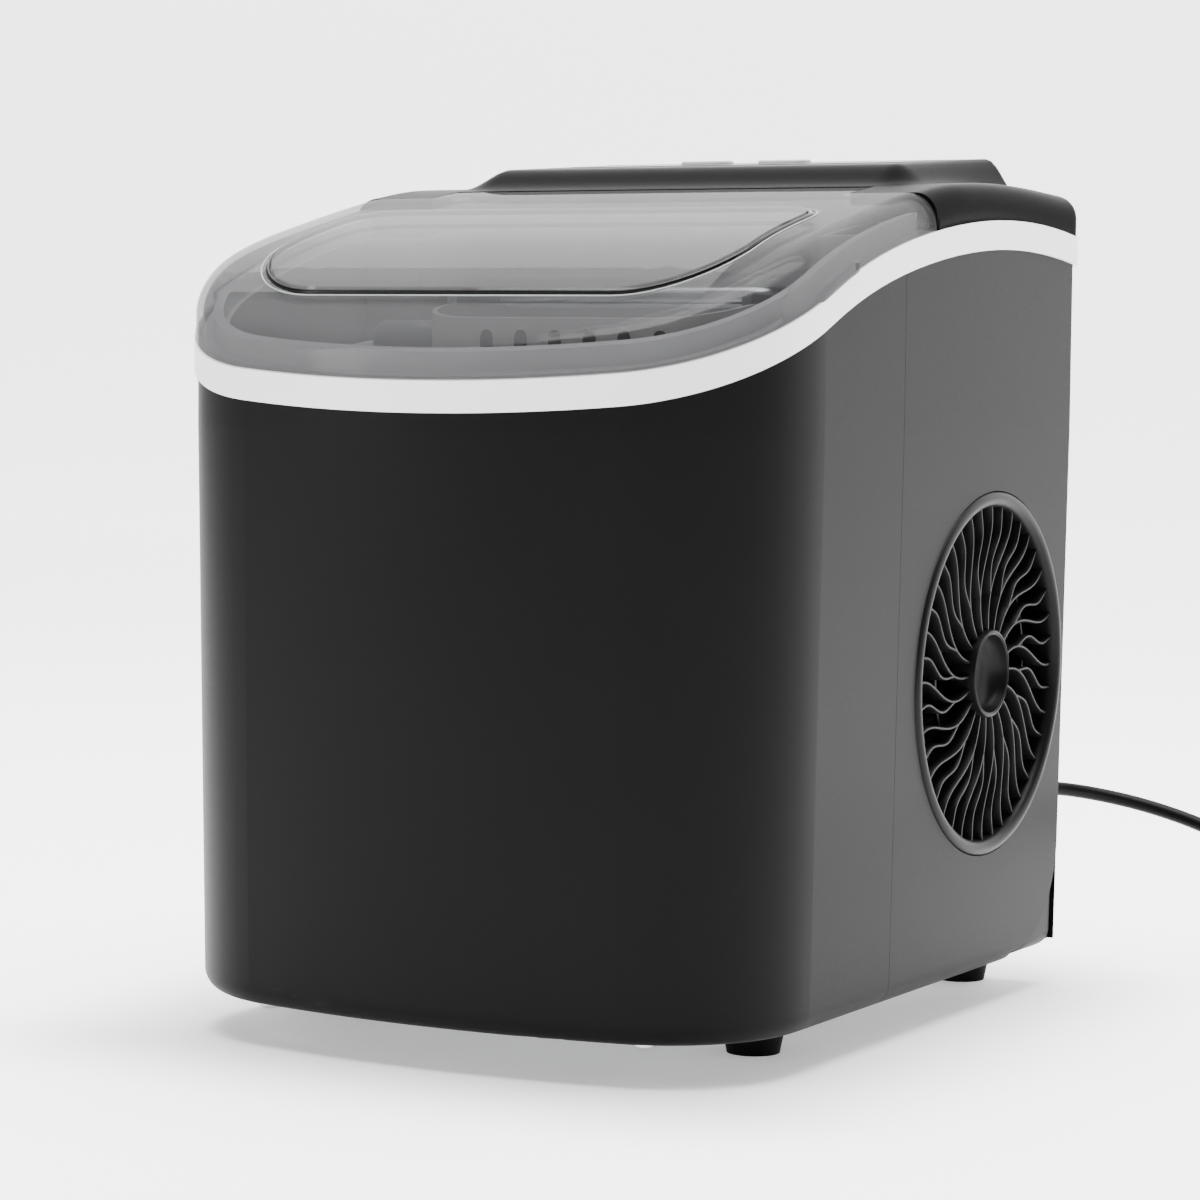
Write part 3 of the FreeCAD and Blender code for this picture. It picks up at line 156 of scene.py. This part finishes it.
def window_share(tree, place):
    """1 inside the lid's raised window and 0 outside it."""
    split = tree.nodes.new("ShaderNodeSeparateXYZ")
    tree.links.new(place, split.inputs["Vector"])
    sides = []
    middle_y = (WINDOW_FRONT + WINDOW_REAR) / 2 * MM
    reach_y = (WINDOW_REAR - WINDOW_FRONT) / 2 * MM
    for axis, middle, reach in (("X", 0, WINDOW_HALF * MM), ("Y", middle_y, reach_y)):
        within = tree.nodes.new("ShaderNodeMath")
        within.operation = "COMPARE"
        within.inputs[1].default_value = middle
        within.inputs[2].default_value = reach
        tree.links.new(split.outputs[axis], within.inputs[0])
        sides.append(within.outputs["Value"])
    both = tree.nodes.new("ShaderNodeMath")
    both.operation = "MULTIPLY"
    tree.links.new(sides[0], both.inputs[0])
    tree.links.new(sides[1], both.inputs[1])
    return both.outputs["Value"]


def clear_plastic(name, tone, haze, window_haze, rough):
    """Smoke-tinted clear plastic: capped gloss over a see-through body, hazier in the window."""
    material, tree, shader, place = new_material(name)
    drift = noise(tree, place, 9)
    tree.links.new(two_tone(tree, drift, [c * 0.96 for c in tone], tone), shader.inputs["Base Color"])
    fine = noise(tree, place, 18, 2)
    tree.links.new(spread(tree, fine, rough * 0.8, rough * 1.2), shader.inputs["Roughness"])
    tree.links.new(bump(tree, noise(tree, place, 8), 0.02, 0.0001), shader.inputs["Normal"])
    clear = tree.nodes.new("ShaderNodeBsdfTransparent")
    clear.inputs["Color"].default_value = (0.64, 0.64, 0.645, 1)
    least = tree.nodes.new("ShaderNodeMapRange")
    least.inputs["To Min"].default_value = haze
    least.inputs["To Max"].default_value = window_haze
    tree.links.new(window_share(tree, place), least.inputs["Value"])
    gloss = tree.nodes.new("ShaderNodeFresnel")
    gloss.inputs["IOR"].default_value = 1.5
    share = tree.nodes.new("ShaderNodeMapRange")
    share.inputs["To Max"].default_value = GLOSS_LIMIT
    tree.links.new(gloss.outputs["Fac"], share.inputs["Value"])
    tree.links.new(least.outputs["Result"], share.inputs["To Min"])
    mix = tree.nodes.new("ShaderNodeMixShader")
    tree.links.new(share.outputs["Result"], mix.inputs["Fac"])
    tree.links.new(clear.outputs["BSDF"], mix.inputs[1])
    tree.links.new(shader.outputs["BSDF"], mix.inputs[2])
    tree.links.new(mix.outputs["Shader"], tree.nodes["Material Output"].inputs["Surface"])
    return material


WINDOW_HALF, WINDOW_FRONT, WINDOW_REAR = 95.6, -117.6, -27.4
GLOSS_LIMIT = 0.42
MATERIALS = {
    "shell_black": surface("shell_black", (0.0035, 0.0035, 0.0036), 0.40, grain=2200, depth=0.1,
                           specular=0.055),
    "cover_black": surface("cover_black", (0.003, 0.003, 0.0031), 0.30, grain=2200, depth=0.05,
                           specular=0.005),
    "trim_silver": surface("trim_silver", (0.80, 0.80, 0.80), 0.36, vary=0.02, grain=2600, depth=0.05),
    "lid_clear": clear_plastic("lid_clear", (0.30, 0.30, 0.305), 0.02, 0.24, 0.03),
    "overlay_grey": surface("overlay_grey", (0.10, 0.10, 0.102), 0.3, grain=2600, depth=0.05),
    "button_grey": surface("button_grey", (0.62, 0.62, 0.63), 0.35, grain=2600, depth=0.05),
    "lamp": surface("lamp", (0.70, 0.74, 0.76), 0.2, depth=0.03, coat=0.5),
    "board_green": surface("board_green", (0.02, 0.12, 0.05), 0.4, grain=700, depth=0.2),
    "switch_black": surface("switch_black", (0.02, 0.02, 0.02), 0.5),
    "grille_black": surface("grille_black", (0.0035, 0.0035, 0.0036), 0.38, grain=2400, depth=0.08,
                            specular=0.10),
    "fan_grey": surface("fan_grey", (0.002, 0.002, 0.002), 0.6, specular=0.05),
    "zinc_sheet": surface("zinc_sheet", (0.56, 0.57, 0.58), 0.35, vary=0.12, grain=120, metallic=1.0),
    "steel": surface("steel", (0.60, 0.60, 0.61), 0.28, grain=300, metallic=1.0, stretch=(1, 1, 12)),
    "compressor_black": surface("compressor_black", (0.012, 0.012, 0.013), 0.35, grain=900, coat=0.3),
    "copper": surface("copper", (0.72, 0.36, 0.22), 0.3, vary=0.15, grain=260, metallic=1.0),
    "aluminium": surface("aluminium", (0.78, 0.79, 0.80), 0.35, grain=400, metallic=1.0),
    "chrome": surface("chrome", (0.78, 0.78, 0.80), 0.12, grain=900, depth=0.03, metallic=1.0),
    "white_plastic": surface("white_plastic", (0.74, 0.74, 0.735), 0.38, vary=0.03, depth=0.06),
    "foam": surface("foam", (0.72, 0.68, 0.56), 0.9, vary=0.1, grain=500, depth=0.6),
    "grey_plastic": surface("grey_plastic", (0.34, 0.35, 0.36), 0.4, depth=0.08),
    "sensor_black": surface("sensor_black", (0.002, 0.002, 0.002), 0.2, depth=0.02, specular=0.15),
    "silicone": surface("silicone", (0.62, 0.63, 0.63), 0.45, depth=0.05),
    "rubber_black": surface("rubber_black", (0.003, 0.003, 0.003), 0.6, grain=1800, depth=0.25,
                            specular=0.06),
    "cord_black": surface("cord_black", (0.003, 0.003, 0.0031), 0.42, grain=1800, depth=0.12, specular=0.10),
}
OVERRIDES = {"top_cover": "cover_black"}


def dress_cad_nodes():
    """Gives every CAD node the finish that its material slot names."""
    for row in frame["record"]["subparts"]:
        name = row["node"]
        node = nodes[name]
        node.data.materials.clear()
        node.data.materials.append(MATERIALS[OVERRIDES.get(name, row["material_slot"])])


dress_cad_nodes()


# ---------------------------------------------------------------- shared mesh helpers

def add_piece(name, points, faces, material, body, stands_for=(), smooth_angle=35):
    """Builds a mesh piece, shades it smooth below an angle, and hangs it on its body."""
    mesh = bpy.data.meshes.new(name)
    mesh.from_pydata([tuple(p) for p in points], [], faces)
    build = bmesh.new()
    build.from_mesh(mesh)
    bmesh.ops.recalc_face_normals(build, faces=build.faces)
    build.to_mesh(mesh)
    build.free()
    mesh.polygons.foreach_set("use_smooth", [True] * len(mesh.polygons))
    mesh.set_sharp_from_angle(angle=math.radians(smooth_angle))
    mesh.materials.append(MATERIALS[material])
    piece = bpy.data.objects.new(name, mesh)
    bpy.context.scene.collection.objects.link(piece)
    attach(piece, body)
    if stands_for:
        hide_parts(*stands_for)
    return piece


def ease(share):
    """A smooth step from 0 to 1."""
    share = min(max(share, 0.0), 1.0)
    return share * share * (3 - 2 * share)


def along(points, at):
    """A smooth height between a few (y, z) points, with slopes taken from their neighbours."""
    slopes = []
    for index in range(len(points)):
        before, after = points[max(index - 1, 0)], points[min(index + 1, len(points) - 1)]
        slopes.append((after[1] - before[1]) / (after[0] - before[0]))
    at = min(max(at, points[0][0]), points[-1][0])
    index = max(i for i in range(len(points) - 1) if points[i][0] <= at)
    (y0, z0), (y1, z1) = points[index], points[index + 1]
    span = y1 - y0
    t = (at - y0) / span
    return (z0 * (1 + 2 * t) * (1 - t) ** 2 + slopes[index] * span * t * (1 - t) ** 2
            + z1 * t * t * (3 - 2 * t) + slopes[index + 1] * span * t * t * (t - 1))


# ---------------------------------------------------------------- control housing

BAND_LINE = [(-160, 221), (-100, 247), (-60, 263.8), (0, 279), (75, 286.3), (160, 279)]
BAND_HEIGHT = 10.8
COVER_LINE = [(-10, 301.5), (8, 305), (40, 309.5), (90, 311), (160, 308)]
COVER_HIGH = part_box("top_cover")[1] / MM
COVER_HALF, COVER_REAR = COVER_HIGH.x, COVER_HIGH.y
COVER_FRONT, TONGUE_REAR, TONGUE_HALF = 8.9, 29.4, 89.1
REAR_CORNER = 7
HOUSING_FRONT, HOUSING_HALF = 60, 84
HOUSING_LOW, HOUSING_SLOPE = 318.2, 5.6 / 83
FLARE_SIDE, FLARE_FRONT = 14, 27
CROWN_SIDE, CROWN_REAR = 9, 4
COVER_WALL = 2


def cover_height(x, y, edge_side, edge_rear):
    """The cover's top: shoulders, the flared housing on them, and rounded outer edges."""
    base = along(COVER_LINE, y)
    top = HOUSING_LOW + HOUSING_SLOPE * (y - HOUSING_FRONT)
    off_side = max(abs(x) - HOUSING_HALF, 0) / FLARE_SIDE
    off_front = max(HOUSING_FRONT - y, 0) / FLARE_FRONT
    rise = 1 - ease(math.hypot(off_side, off_front))
    short_side = max(CROWN_SIDE - edge_side, 0)
    short_rear = max(CROWN_REAR - edge_rear, 0)
    drop = CROWN_SIDE - math.sqrt(max(CROWN_SIDE ** 2 - short_side ** 2, 0))
    drop += CROWN_REAR - math.sqrt(max(CROWN_REAR ** 2 - short_rear ** 2, 0))
    return base + (top - base) * rise - drop


def make_top_cover():
    """One moulding behind the lid: shoulders beside the tongue and the raised control housing."""
    half_steps = [i / 46 for i in range(47)]
    inner = [COVER_HALF * s * 0.9 for s in half_steps if COVER_HALF * s * 0.9 < TONGUE_HALF - 1]
    inner.append(TONGUE_HALF)
    rest = [TONGUE_HALF + (COVER_HALF - TONGUE_HALF) * math.sin(math.pi / 2 * i / 26) for i in range(1, 27)]
    columns = [x / COVER_HALF for x in inner + rest]
    columns = [-c for c in reversed(columns[1:])] + columns
    rows = [COVER_FRONT + (TONGUE_REAR - COVER_FRONT) * i / 8 for i in range(9)]
    rows += [TONGUE_REAR + (COVER_REAR - 8 - TONGUE_REAR) * i / 50 for i in range(1, 51)]
    rows += [COVER_REAR - 8 + 8 * math.sin(math.pi / 2 * i / 14) for i in range(1, 15)]
    points, index_of, faces = [], {}, []
    for j, y in enumerate(rows):
        into_corner = max(y - (COVER_REAR - REAR_CORNER), 0)
        half = COVER_HALF - REAR_CORNER + math.sqrt(max(REAR_CORNER ** 2 - into_corner ** 2, 0))
        for i, share in enumerate(columns):
            x = share * half
            if y < TONGUE_REAR - 0.01 and abs(share) * COVER_HALF < TONGUE_HALF - 0.01:
                continue
            index_of[i, j] = len(points)
            points.append(mm(x, y, cover_height(x, y, half - abs(x), COVER_REAR - y)))
    for j in range(len(rows) - 1):
        for i in range(len(columns) - 1):
            ring = [(i, j), (i + 1, j), (i + 1, j + 1), (i, j + 1)]
            if all(corner in index_of for corner in ring):
                faces.append([index_of[corner] for corner in ring])
    uses = {}
    for face in faces:
        for a, b in zip(face, face[1:] + face[:1]):
            uses.setdefault(frozenset((a, b)), []).append((a, b))
    below = {}
    for pairs in list(uses.values()):
        if len(pairs) == 1:
            for end in pairs[0]:
                if end not in below:
                    x, y, z = points[end] / MM
                    below[end] = len(points)
                    low = along(BAND_LINE, y) + BAND_HEIGHT - 1.5
                    inside = (abs(x) < TONGUE_HALF + 0.5 and y < TONGUE_REAR + 0.1) or y < COVER_FRONT + 0.1
                    points.append(mm(x, y, max(low, z - 9) if inside else min(low, z - 1)))
            a, b = pairs[0]
            faces.append([b, a, below[a], below[b]])
    cover = add_piece("control_housing", points, faces, "cover_black", "machine",
                      ["top_cover"])
    shell = cover.modifiers.new("wall", "SOLIDIFY")
    shell.thickness = COVER_WALL * MM
    shell.offset = -1


make_top_cover()


# ---------------------------------------------------------------- fan grille

GRILLE_LOW, GRILLE_HIGH = (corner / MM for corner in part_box("fan_grille"))
FAN_Y, FAN_Z = (GRILLE_LOW.y + GRILLE_HIGH.y) / 2, (GRILLE_LOW.z + GRILLE_HIGH.z) / 2
PANEL_X = 121.3
PANEL_LEAN = math.atan2(3, 206)
RING_PROFILE = [
    (68.3, -2.0), (68.3, -0.3), (67.9, 0.35), (67.0, 0.9), (65.8, 1.15), (64.6, 0.9), (63.5, 0.1),
    (62.8, -1.4), (62.5, -3.5), (62.5, -9.5), (64.5, -9.5), (66.0, -2.0),
]
HUB_PROFILE = [(0.0, -7.0), (7, -6.8), (11, -6.0), (13.4, -4.2), (14.3, -1.6), (14.7, 0.2), (15.4, 0.7),
               (16.2, 0.4), (16.5, -0.5), (16.5, -9), (0.0, -9)]
VANES = 20
VANE_SWEEP = 18
FORK_SHARE = 0.3
VANE_INNER, VANE_OUTER = 15.8, 63.0
VANE_WALL = 0.62
TURN_STEPS = 128


def grille_point(radius, angle, out):
    """A place on the grille: a radius and a clockwise angle seen from outside, and how far it stands out."""
    y = FAN_Y - radius * math.cos(angle)
    z = FAN_Z + radius * math.sin(angle)
    return mm(PANEL_X + (z - FAN_Z) * math.tan(PANEL_LEAN) + out, y, z)


def turned(profile, closed):
    """A profile of (radius, out) turned about the fan's axis."""
    points, faces = [], []
    count = len(profile)
    for step in range(TURN_STEPS):
        angle = 2 * math.pi * step / TURN_STEPS
        points += [grille_point(radius, angle, out) for radius, out in profile]
    spans = count if closed else count - 1
    for step in range(TURN_STEPS):
        a, b = step * count, (step + 1) % TURN_STEPS * count
        for i in range(spans):
            k = (i + 1) % count
            faces.append([a + i, a + k, b + k, b + i])
    return points, faces


def vane_line(index, branch):
    """The (radius, angle) line of one blade: an S from the hub, or its side branch from the fork."""
    start = 360 / VANES * index
    line = []
    steps = 26
    for step in range(steps + 1):
        share = step / steps
        main = VANE_SWEEP * ease(share) - 2.2 * math.sin(2 * math.pi * share)
        if branch:
            share = FORK_SHARE + (1 - FORK_SHARE) * step / steps
            fork = VANE_SWEEP * ease(FORK_SHARE) - 2.2 * math.sin(2 * math.pi * FORK_SHARE)
            own = (share - FORK_SHARE) / (1 - FORK_SHARE)
            main = fork + (VANE_SWEEP / 2 - fork) * ease(own) - 2.6 * math.sin(math.pi * own) * math.sin(
                2 * math.pi * own)
        radius = VANE_INNER + (VANE_OUTER - VANE_INNER) * share
        line.append((radius, math.radians(start + main)))
    return line


def vane_mesh(line, points, faces):
    """A thin upright wall along a line, with a rounded front edge."""
    section = [(-VANE_WALL, -8), (-VANE_WALL, -2.0), (-0.3, -1.5),
               (0.3, -1.5), (VANE_WALL, -2.0), (VANE_WALL, -8)]
    flat = [(radius * math.cos(angle), radius * math.sin(angle)) for radius, angle in line]
    base = len(points)
    count = len(section)
    for index, (u, v) in enumerate(flat):
        before, after = flat[max(index - 1, 0)], flat[min(index + 1, len(flat) - 1)]
        run = math.hypot(after[0] - before[0], after[1] - before[1])
        across = (-(after[1] - before[1]) / run, (after[0] - before[0]) / run)
        for side, out in section:
            pu, pv = u + across[0] * side, v + across[1] * side
            points.append(grille_point(math.hypot(pu, pv), math.atan2(pv, pu), out))
    for index in range(len(flat) - 1):
        a, b = base + index * count, base + (index + 1) * count
        for i in range(count):
            k = (i + 1) % count
            faces.append([a + i, a + k, b + k, b + i])
    faces.append([base + i for i in range(count)])
    faces.append([len(points) - 1 - i for i in range(count)])


def make_grille():
    """A convex ring, a dished hub and forked S-shaped blades between them, on two thin rear rings."""
    ring_points, ring_faces = turned(RING_PROFILE, True)
    add_piece("grille_ring", ring_points, ring_faces, "grille_black", "machine",
              ["fan_grille"])
    hub_points, hub_faces = turned(HUB_PROFILE, False)
    add_piece("grille_hub", hub_points, hub_faces, "grille_black", "machine")
    points, faces = [], []
    for index in range(VANES):
        for branch in (False, True):
            vane_mesh(vane_line(index, branch), points, faces)
    add_piece("grille_blades", points, faces, "grille_black", "machine")
    for name, radius in (("grille_brace_inner", 34), ("grille_brace_outer", 48)):
        brace = [(radius - 0.7, -7.5), (radius + 0.7, -7.5), (radius + 0.7, -9.5), (radius - 0.7, -9.5)]
        brace_points, brace_faces = turned(brace, True)
        add_piece(name, brace_points, brace_faces, "grille_black", "machine")


make_grille()


# ---------------------------------------------------------------- lid window's edge

WINDOW_CORNERS = {"front": 36.6, "rear": 14.6}


def window_outline(grow):
    """The window's rounded outline, as (x, y) points in order, grown outward a little."""
    half, front, rear = WINDOW_HALF + grow, WINDOW_FRONT - grow, WINDOW_REAR + grow
    corners = [
        (half, front, WINDOW_CORNERS["front"], 270), (half, rear, WINDOW_CORNERS["rear"], 0),
        (-half, rear, WINDOW_CORNERS["rear"], 90), (-half, front, WINDOW_CORNERS["front"], 180),
    ]
    line = []
    for x, y, radius, start in corners:
        cx, cy = x - math.copysign(radius, x), y + (radius if y == front else -radius)
        for step in range(13):
            angle = math.radians(start + 90 * step / 12)
            line.append((cx + radius * math.cos(angle), cy + radius * math.sin(angle)))
    full = []
    for (x0, y0), (x1, y1) in zip(line, line[1:] + line[:1]):
        count = max(1, round(math.hypot(x1 - x0, y1 - y0) / 5))
        full += [(x0 + (x1 - x0) * i / count, y0 + (y1 - y0) * i / count) for i in range(count)]
    return full


def make_window_edge(name, grow, radius, material):
    """A line round the window's step, laid on the lid."""
    lid_tree = BVHTree.FromPolygons([v.co for v in nodes["lid"].data.vertices],
                                    [p.vertices for p in nodes["lid"].data.polygons])
    places = []
    for x, y in window_outline(grow):
        hit = lid_tree.ray_cast(mm(x, y, 400), Vector((0, 0, -1)))[0]
        places.append(hit + mm(0, 0, 0.1))
    data = bpy.data.curves.new(name, "CURVE")
    data.dimensions = "3D"
    data.bevel_depth = radius * MM
    data.bevel_resolution = 4
    spline = data.splines.new("POLY")
    spline.points.add(len(places) - 1)
    for point, place in zip(spline.points, places):
        point.co = (*place, 1)
    spline.use_cyclic_u = True
    edge = bpy.data.objects.new(name, data)
    bpy.context.scene.collection.objects.link(edge)
    data.materials.append(MATERIALS[material])
    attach(edge, "lid")


# painted reflection: a black line where the window step's wall shows dark
make_window_edge("window_painted_dark_reflection", 0.4, 0.9, "sensor_black")
# painted highlight: a grey line along the window step's edge
make_window_edge("window_painted_highlight", 2.1, 0.3, "grey_plastic")


# ---------------------------------------------------------------- basket slots, as dark plates of painted shade

BASKET_LOW, BASKET_HIGH = (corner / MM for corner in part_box("ice_basket"))
BASKET_ROUND = 24
SLOT_WIDTH, SLOT_PROUD = 5, 0.15
FRONT_SLOTS = [8 + 13.5 * index for index in range(6)]
SIDE_SLOTS = [20 + 12.5 * index for index in range(4)]


def basket_outline(along_front, along_side):
    """A place just off the basket's outer wall, given its x on the front or its y on the right side."""
    corner_x, corner_y = BASKET_HIGH.x - BASKET_ROUND, BASKET_LOW.y + BASKET_ROUND
    reach = BASKET_ROUND + SLOT_PROUD
    if along_side is None:
        past = max(along_front - corner_x, 0)
        return along_front, corner_y - math.sqrt(reach ** 2 - past ** 2)
    past = max(corner_y - along_side, 0)
    return corner_x + math.sqrt(reach ** 2 - past ** 2), along_side


def make_basket_slot_shade():
    """Thin dark plates with round ends over the basket's slots, reaching up close to its rim: they mark the
    real slots, and their black is painted shade for the basket's shaded inside.
    """
    slots = [(x, None, 239, 254.5) for x in FRONT_SLOTS]
    slots += [(None, BASKET_LOW.y + y, 241, 259.5) for y in SIDE_SLOTS]
    points, faces = [], []
    for front, side, low, high in slots:
        for step in range(9):
            share = -1 + step / 4
            rounding = SLOT_WIDTH / 2 * (1 - math.sqrt(1 - share * share))
            shift = SLOT_WIDTH / 2 * (1 + share)
            if side is None:
                x, y = basket_outline(front + shift, None)
            else:
                x, y = basket_outline(None, side + shift)
            points += [mm(x, y, low + rounding), mm(x, y, high - rounding)]
            if step:
                last = len(points) - 1
                faces.append([last - 3, last - 1, last, last - 2])
    # painted shade: black plates where the slots look into the shaded basket
    shade_plates = add_piece("basket_slot_painted_shade", points, faces, "sensor_black", "machine")
    plate = shade_plates.modifiers.new("plate", "SOLIDIFY")
    plate.thickness = SLOT_PROUD / 2 * MM


make_basket_slot_shade()


# ---------------------------------------------------------------- rear cover's lower corners

SKIRT_START, SKIRT_TOP, SKIRT_LOW, SKIRT_ROUND = 92, 64, 15.5, 6
SKIRT_INSET, CASE_HALF, CASE_REAR = 1.1, 122.5, 146
SKIRT_WALL = 1.2


def make_lower_corner(name, side):
    """The rear cover's lower corner, seen where the side panel is cut away in an arc."""
    rises = [(SKIRT_LOW + SKIRT_ROUND * (1 - math.cos(a)), SKIRT_ROUND * (1 - math.sin(a)))
             for a in (math.pi / 2 * i / 8 for i in range(9))]
    rises += [(z, 0) for z in (30, 42, 53, SKIRT_TOP)]
    points, faces = [], []
    for z, tuck in rises:
        inset = SKIRT_INSET + tuck + 3 * (220 - z) / 206
        half, rear = CASE_HALF - inset, CASE_REAR - 0.3 - inset + SKIRT_INSET
        ring = [(half, SKIRT_START), (half, (SKIRT_START + rear) / 2)]
        for step in range(9):
            angle = math.pi / 2 * step / 8
            ring.append((half - REAR_CORNER * (1 - math.cos(angle)),
                         rear - REAR_CORNER * (1 - math.sin(angle))))
        points += [mm(side * x, y, z) for x, y in ring]
    count = len(points) // len(rises)
    for j in range(len(rises) - 1):
        for i in range(count - 1):
            a, b = j * count + i, (j + 1) * count + i
            faces.append([a, a + 1, b + 1, b])
    corner = add_piece(name, points, faces, "shell_black", "machine")
    wall = corner.modifiers.new("wall", "SOLIDIFY")
    wall.thickness = SKIRT_WALL * MM


make_lower_corner("cover_corner_right", 1)
make_lower_corner("cover_corner_left", -1)


# ---------------------------------------------------------------- mains lead

CORD_RADIUS = 2.8
LEAD_ROUTE = [
    (84, 178.5, 69.5), (84, 203, 69.5), (97, 221, 67), (122, 230, 62), (150, 230.5, 54.5),
    (180, 226, 43), (207, 218.5, 30), (230, 208, 17), (248, 194, 8),
]
COIL_CENTRE = (292, 196)
COIL_START = 215
COIL_END = 30
POINTS_PER_TURN = 16
# each turn's radius and height: three on the floor, two on them, one on top, then out
COIL_TURNS = [(36.6, 2.8), (31.0, 2.8), (25.4, 2.8), (25.4, 8.4), (31.0, 8.4), (28.2, 14.0), (36.6, 8.6)]
TAIL_ROUTE = [(312, 232, 10), (307, 250, 11), (307, 268, 11)]


def coil_points():
    """The coil's turns, each moving over to the next in its last quarter."""
    total = (COIL_END - COIL_START) % 360 + 360 * (len(COIL_TURNS) - 1)
    count = round(total / 360 * POINTS_PER_TURN)
    points = []
    for index in range(count + 1):
        turned = total * index / count
        step = min(int(turned // 360), len(COIL_TURNS) - 1)
        share = max(0.0, (turned / 360 - step - 0.75) / 0.25)
        share = share * share * (3 - 2 * share)
        after = min(step + 1, len(COIL_TURNS) - 1)
        radius = COIL_TURNS[step][0] * (1 - share) + COIL_TURNS[after][0] * share
        height = COIL_TURNS[step][1] * (1 - share) + COIL_TURNS[after][1] * share
        angle = math.radians(COIL_START + turned)
        points.append((COIL_CENTRE[0] + radius * math.cos(angle),
                       COIL_CENTRE[1] + radius * math.sin(angle), height))
    return points


def make_cord():
    data = bpy.data.curves.new("mains_lead", "CURVE")
    data.dimensions = "3D"
    data.bevel_depth = CORD_RADIUS * MM
    data.bevel_resolution = 6
    data.use_fill_caps = True
    data.resolution_u = 8
    route = LEAD_ROUTE + coil_points() + TAIL_ROUTE
    spline = data.splines.new("NURBS")
    spline.points.add(len(route) - 1)
    for point, place in zip(spline.points, route):
        point.co = (*mm(*place), 1)
    spline.order_u = 3
    spline.use_endpoint_u = True
    lead = bpy.data.objects.new("mains_lead", data)
    bpy.context.scene.collection.objects.link(lead)
    data.materials.append(MATERIALS["cord_black"])
    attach(lead, "machine")
    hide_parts("power_cord", "cord_coil", "cord_tail")


make_cord()


# ---------------------------------------------------------------- floor and light

# painted contact shadow on the floor: the machine's footprint, how far the shade reaches and how dark it
# gets
FOOTPRINT_HALF = (0.105, 0.130, 10)
SHADOW_REACH, SHADOW_FLOOR = 0.10, 0.12
FLOOR_HALF, FLOOR_FRONT, FLOOR_REAR, WALL_TOP = 6, -4, 3.0, 6
SWEEP = 1.5
FLOOR_GLOW = 2.6


def glow_with_painted_shadow(tree, place, glow):
    """The floor's own glow with a painted contact shadow: it fades smoothly under and close beside the
    machine.
    """
    for operation, other in (("ABSOLUTE", None), ("SUBTRACT", FOOTPRINT_HALF), ("MAXIMUM", (0, 0, 0))):
        node = tree.nodes.new("ShaderNodeVectorMath")
        node.operation = operation
        tree.links.new(place, node.inputs[0])
        if other:
            node.inputs[1].default_value = other
        place = node.outputs["Vector"]
    distance = tree.nodes.new("ShaderNodeVectorMath")
    distance.operation = "LENGTH"
    tree.links.new(place, distance.inputs[0])
    # painted shadow: the glow sinks towards SHADOW_FLOOR of itself close to the footprint
    painted_shadow_fade = tree.nodes.new("ShaderNodeMapRange")
    painted_shadow_fade.interpolation_type = "SMOOTHSTEP"
    painted_shadow_fade.inputs["From Max"].default_value = SHADOW_REACH
    painted_shadow_fade.inputs["To Min"].default_value = glow * SHADOW_FLOOR
    painted_shadow_fade.inputs["To Max"].default_value = glow
    tree.links.new(distance.outputs["Value"], painted_shadow_fade.inputs["Value"])
    return painted_shadow_fade.outputs["Result"]


def plain_material(name, tone, rough, glow):
    material, tree, shader, place = new_material(name)
    shader.inputs["Emission Color"].default_value = (1, 1, 1, 1)
    tree.links.new(glow_with_painted_shadow(tree, place, glow), shader.inputs["Emission Strength"])
    drift = two_tone(tree, noise(tree, place, 3), [c * 0.99 for c in tone], tone)
    tree.links.new(drift, shader.inputs["Base Color"])
    shader.inputs["Roughness"].default_value = rough
    return material


def make_floor():
    """A pale floor that sweeps up far behind the machine."""
    mesh = bpy.data.meshes.new("floor")
    profile = [(FLOOR_FRONT, 0), (FLOOR_REAR, 0)]
    for step in range(1, 9):
        angle = math.radians(90 * step / 8)
        profile.append((FLOOR_REAR + SWEEP * math.sin(angle), SWEEP - SWEEP * math.cos(angle)))
    profile.append((FLOOR_REAR + SWEEP, WALL_TOP))
    points = [(side * FLOOR_HALF, y, z) for y, z in profile for side in (-1, 1)]
    faces = [(2 * i, 2 * i + 1, 2 * i + 3, 2 * i + 2) for i in range(len(profile) - 1)]
    mesh.from_pydata(points, [], faces)
    mesh.polygons.foreach_set("use_smooth", [True] * len(faces))
    mesh.materials.append(plain_material("floor_pale", (0.93, 0.93, 0.93), 0.7, FLOOR_GLOW))
    floor = bpy.data.objects.new("floor", mesh)
    bpy.context.scene.collection.objects.link(floor)


def area_light(name, spot, target, width, height, power):
    data = bpy.data.lights.new(name, "AREA")
    data.shape = "RECTANGLE"
    data.size = width
    data.size_y = height
    data.energy = power
    light = bpy.data.objects.new(name, data)
    light.location = spot
    light.rotation_mode = "QUATERNION"
    light.rotation_quaternion = (Vector(target) - Vector(spot)).to_track_quat("-Z", "Y")
    bpy.context.scene.collection.objects.link(light)


def make_light():
    world = bpy.data.worlds.new("studio")
    world.use_nodes = True
    world.node_tree.nodes["Background"].inputs["Color"].default_value = (1, 1, 1, 1)
    world.node_tree.nodes["Background"].inputs["Strength"].default_value = 0.45
    bpy.context.scene.world = world
    middle = (0, 0, 0.15)
    area_light("key_right", (1.7, 0.9, 0.8), middle, 0.7, 1.4, 12)
    area_light("strip_left", (-1.1, -1.3, 0.7), middle, 0.25, 1.0, 12)
    area_light("top_soft", (0.0, 0.1, 1.8), middle, 1.5, 1.5, 90)


make_floor()
make_light()
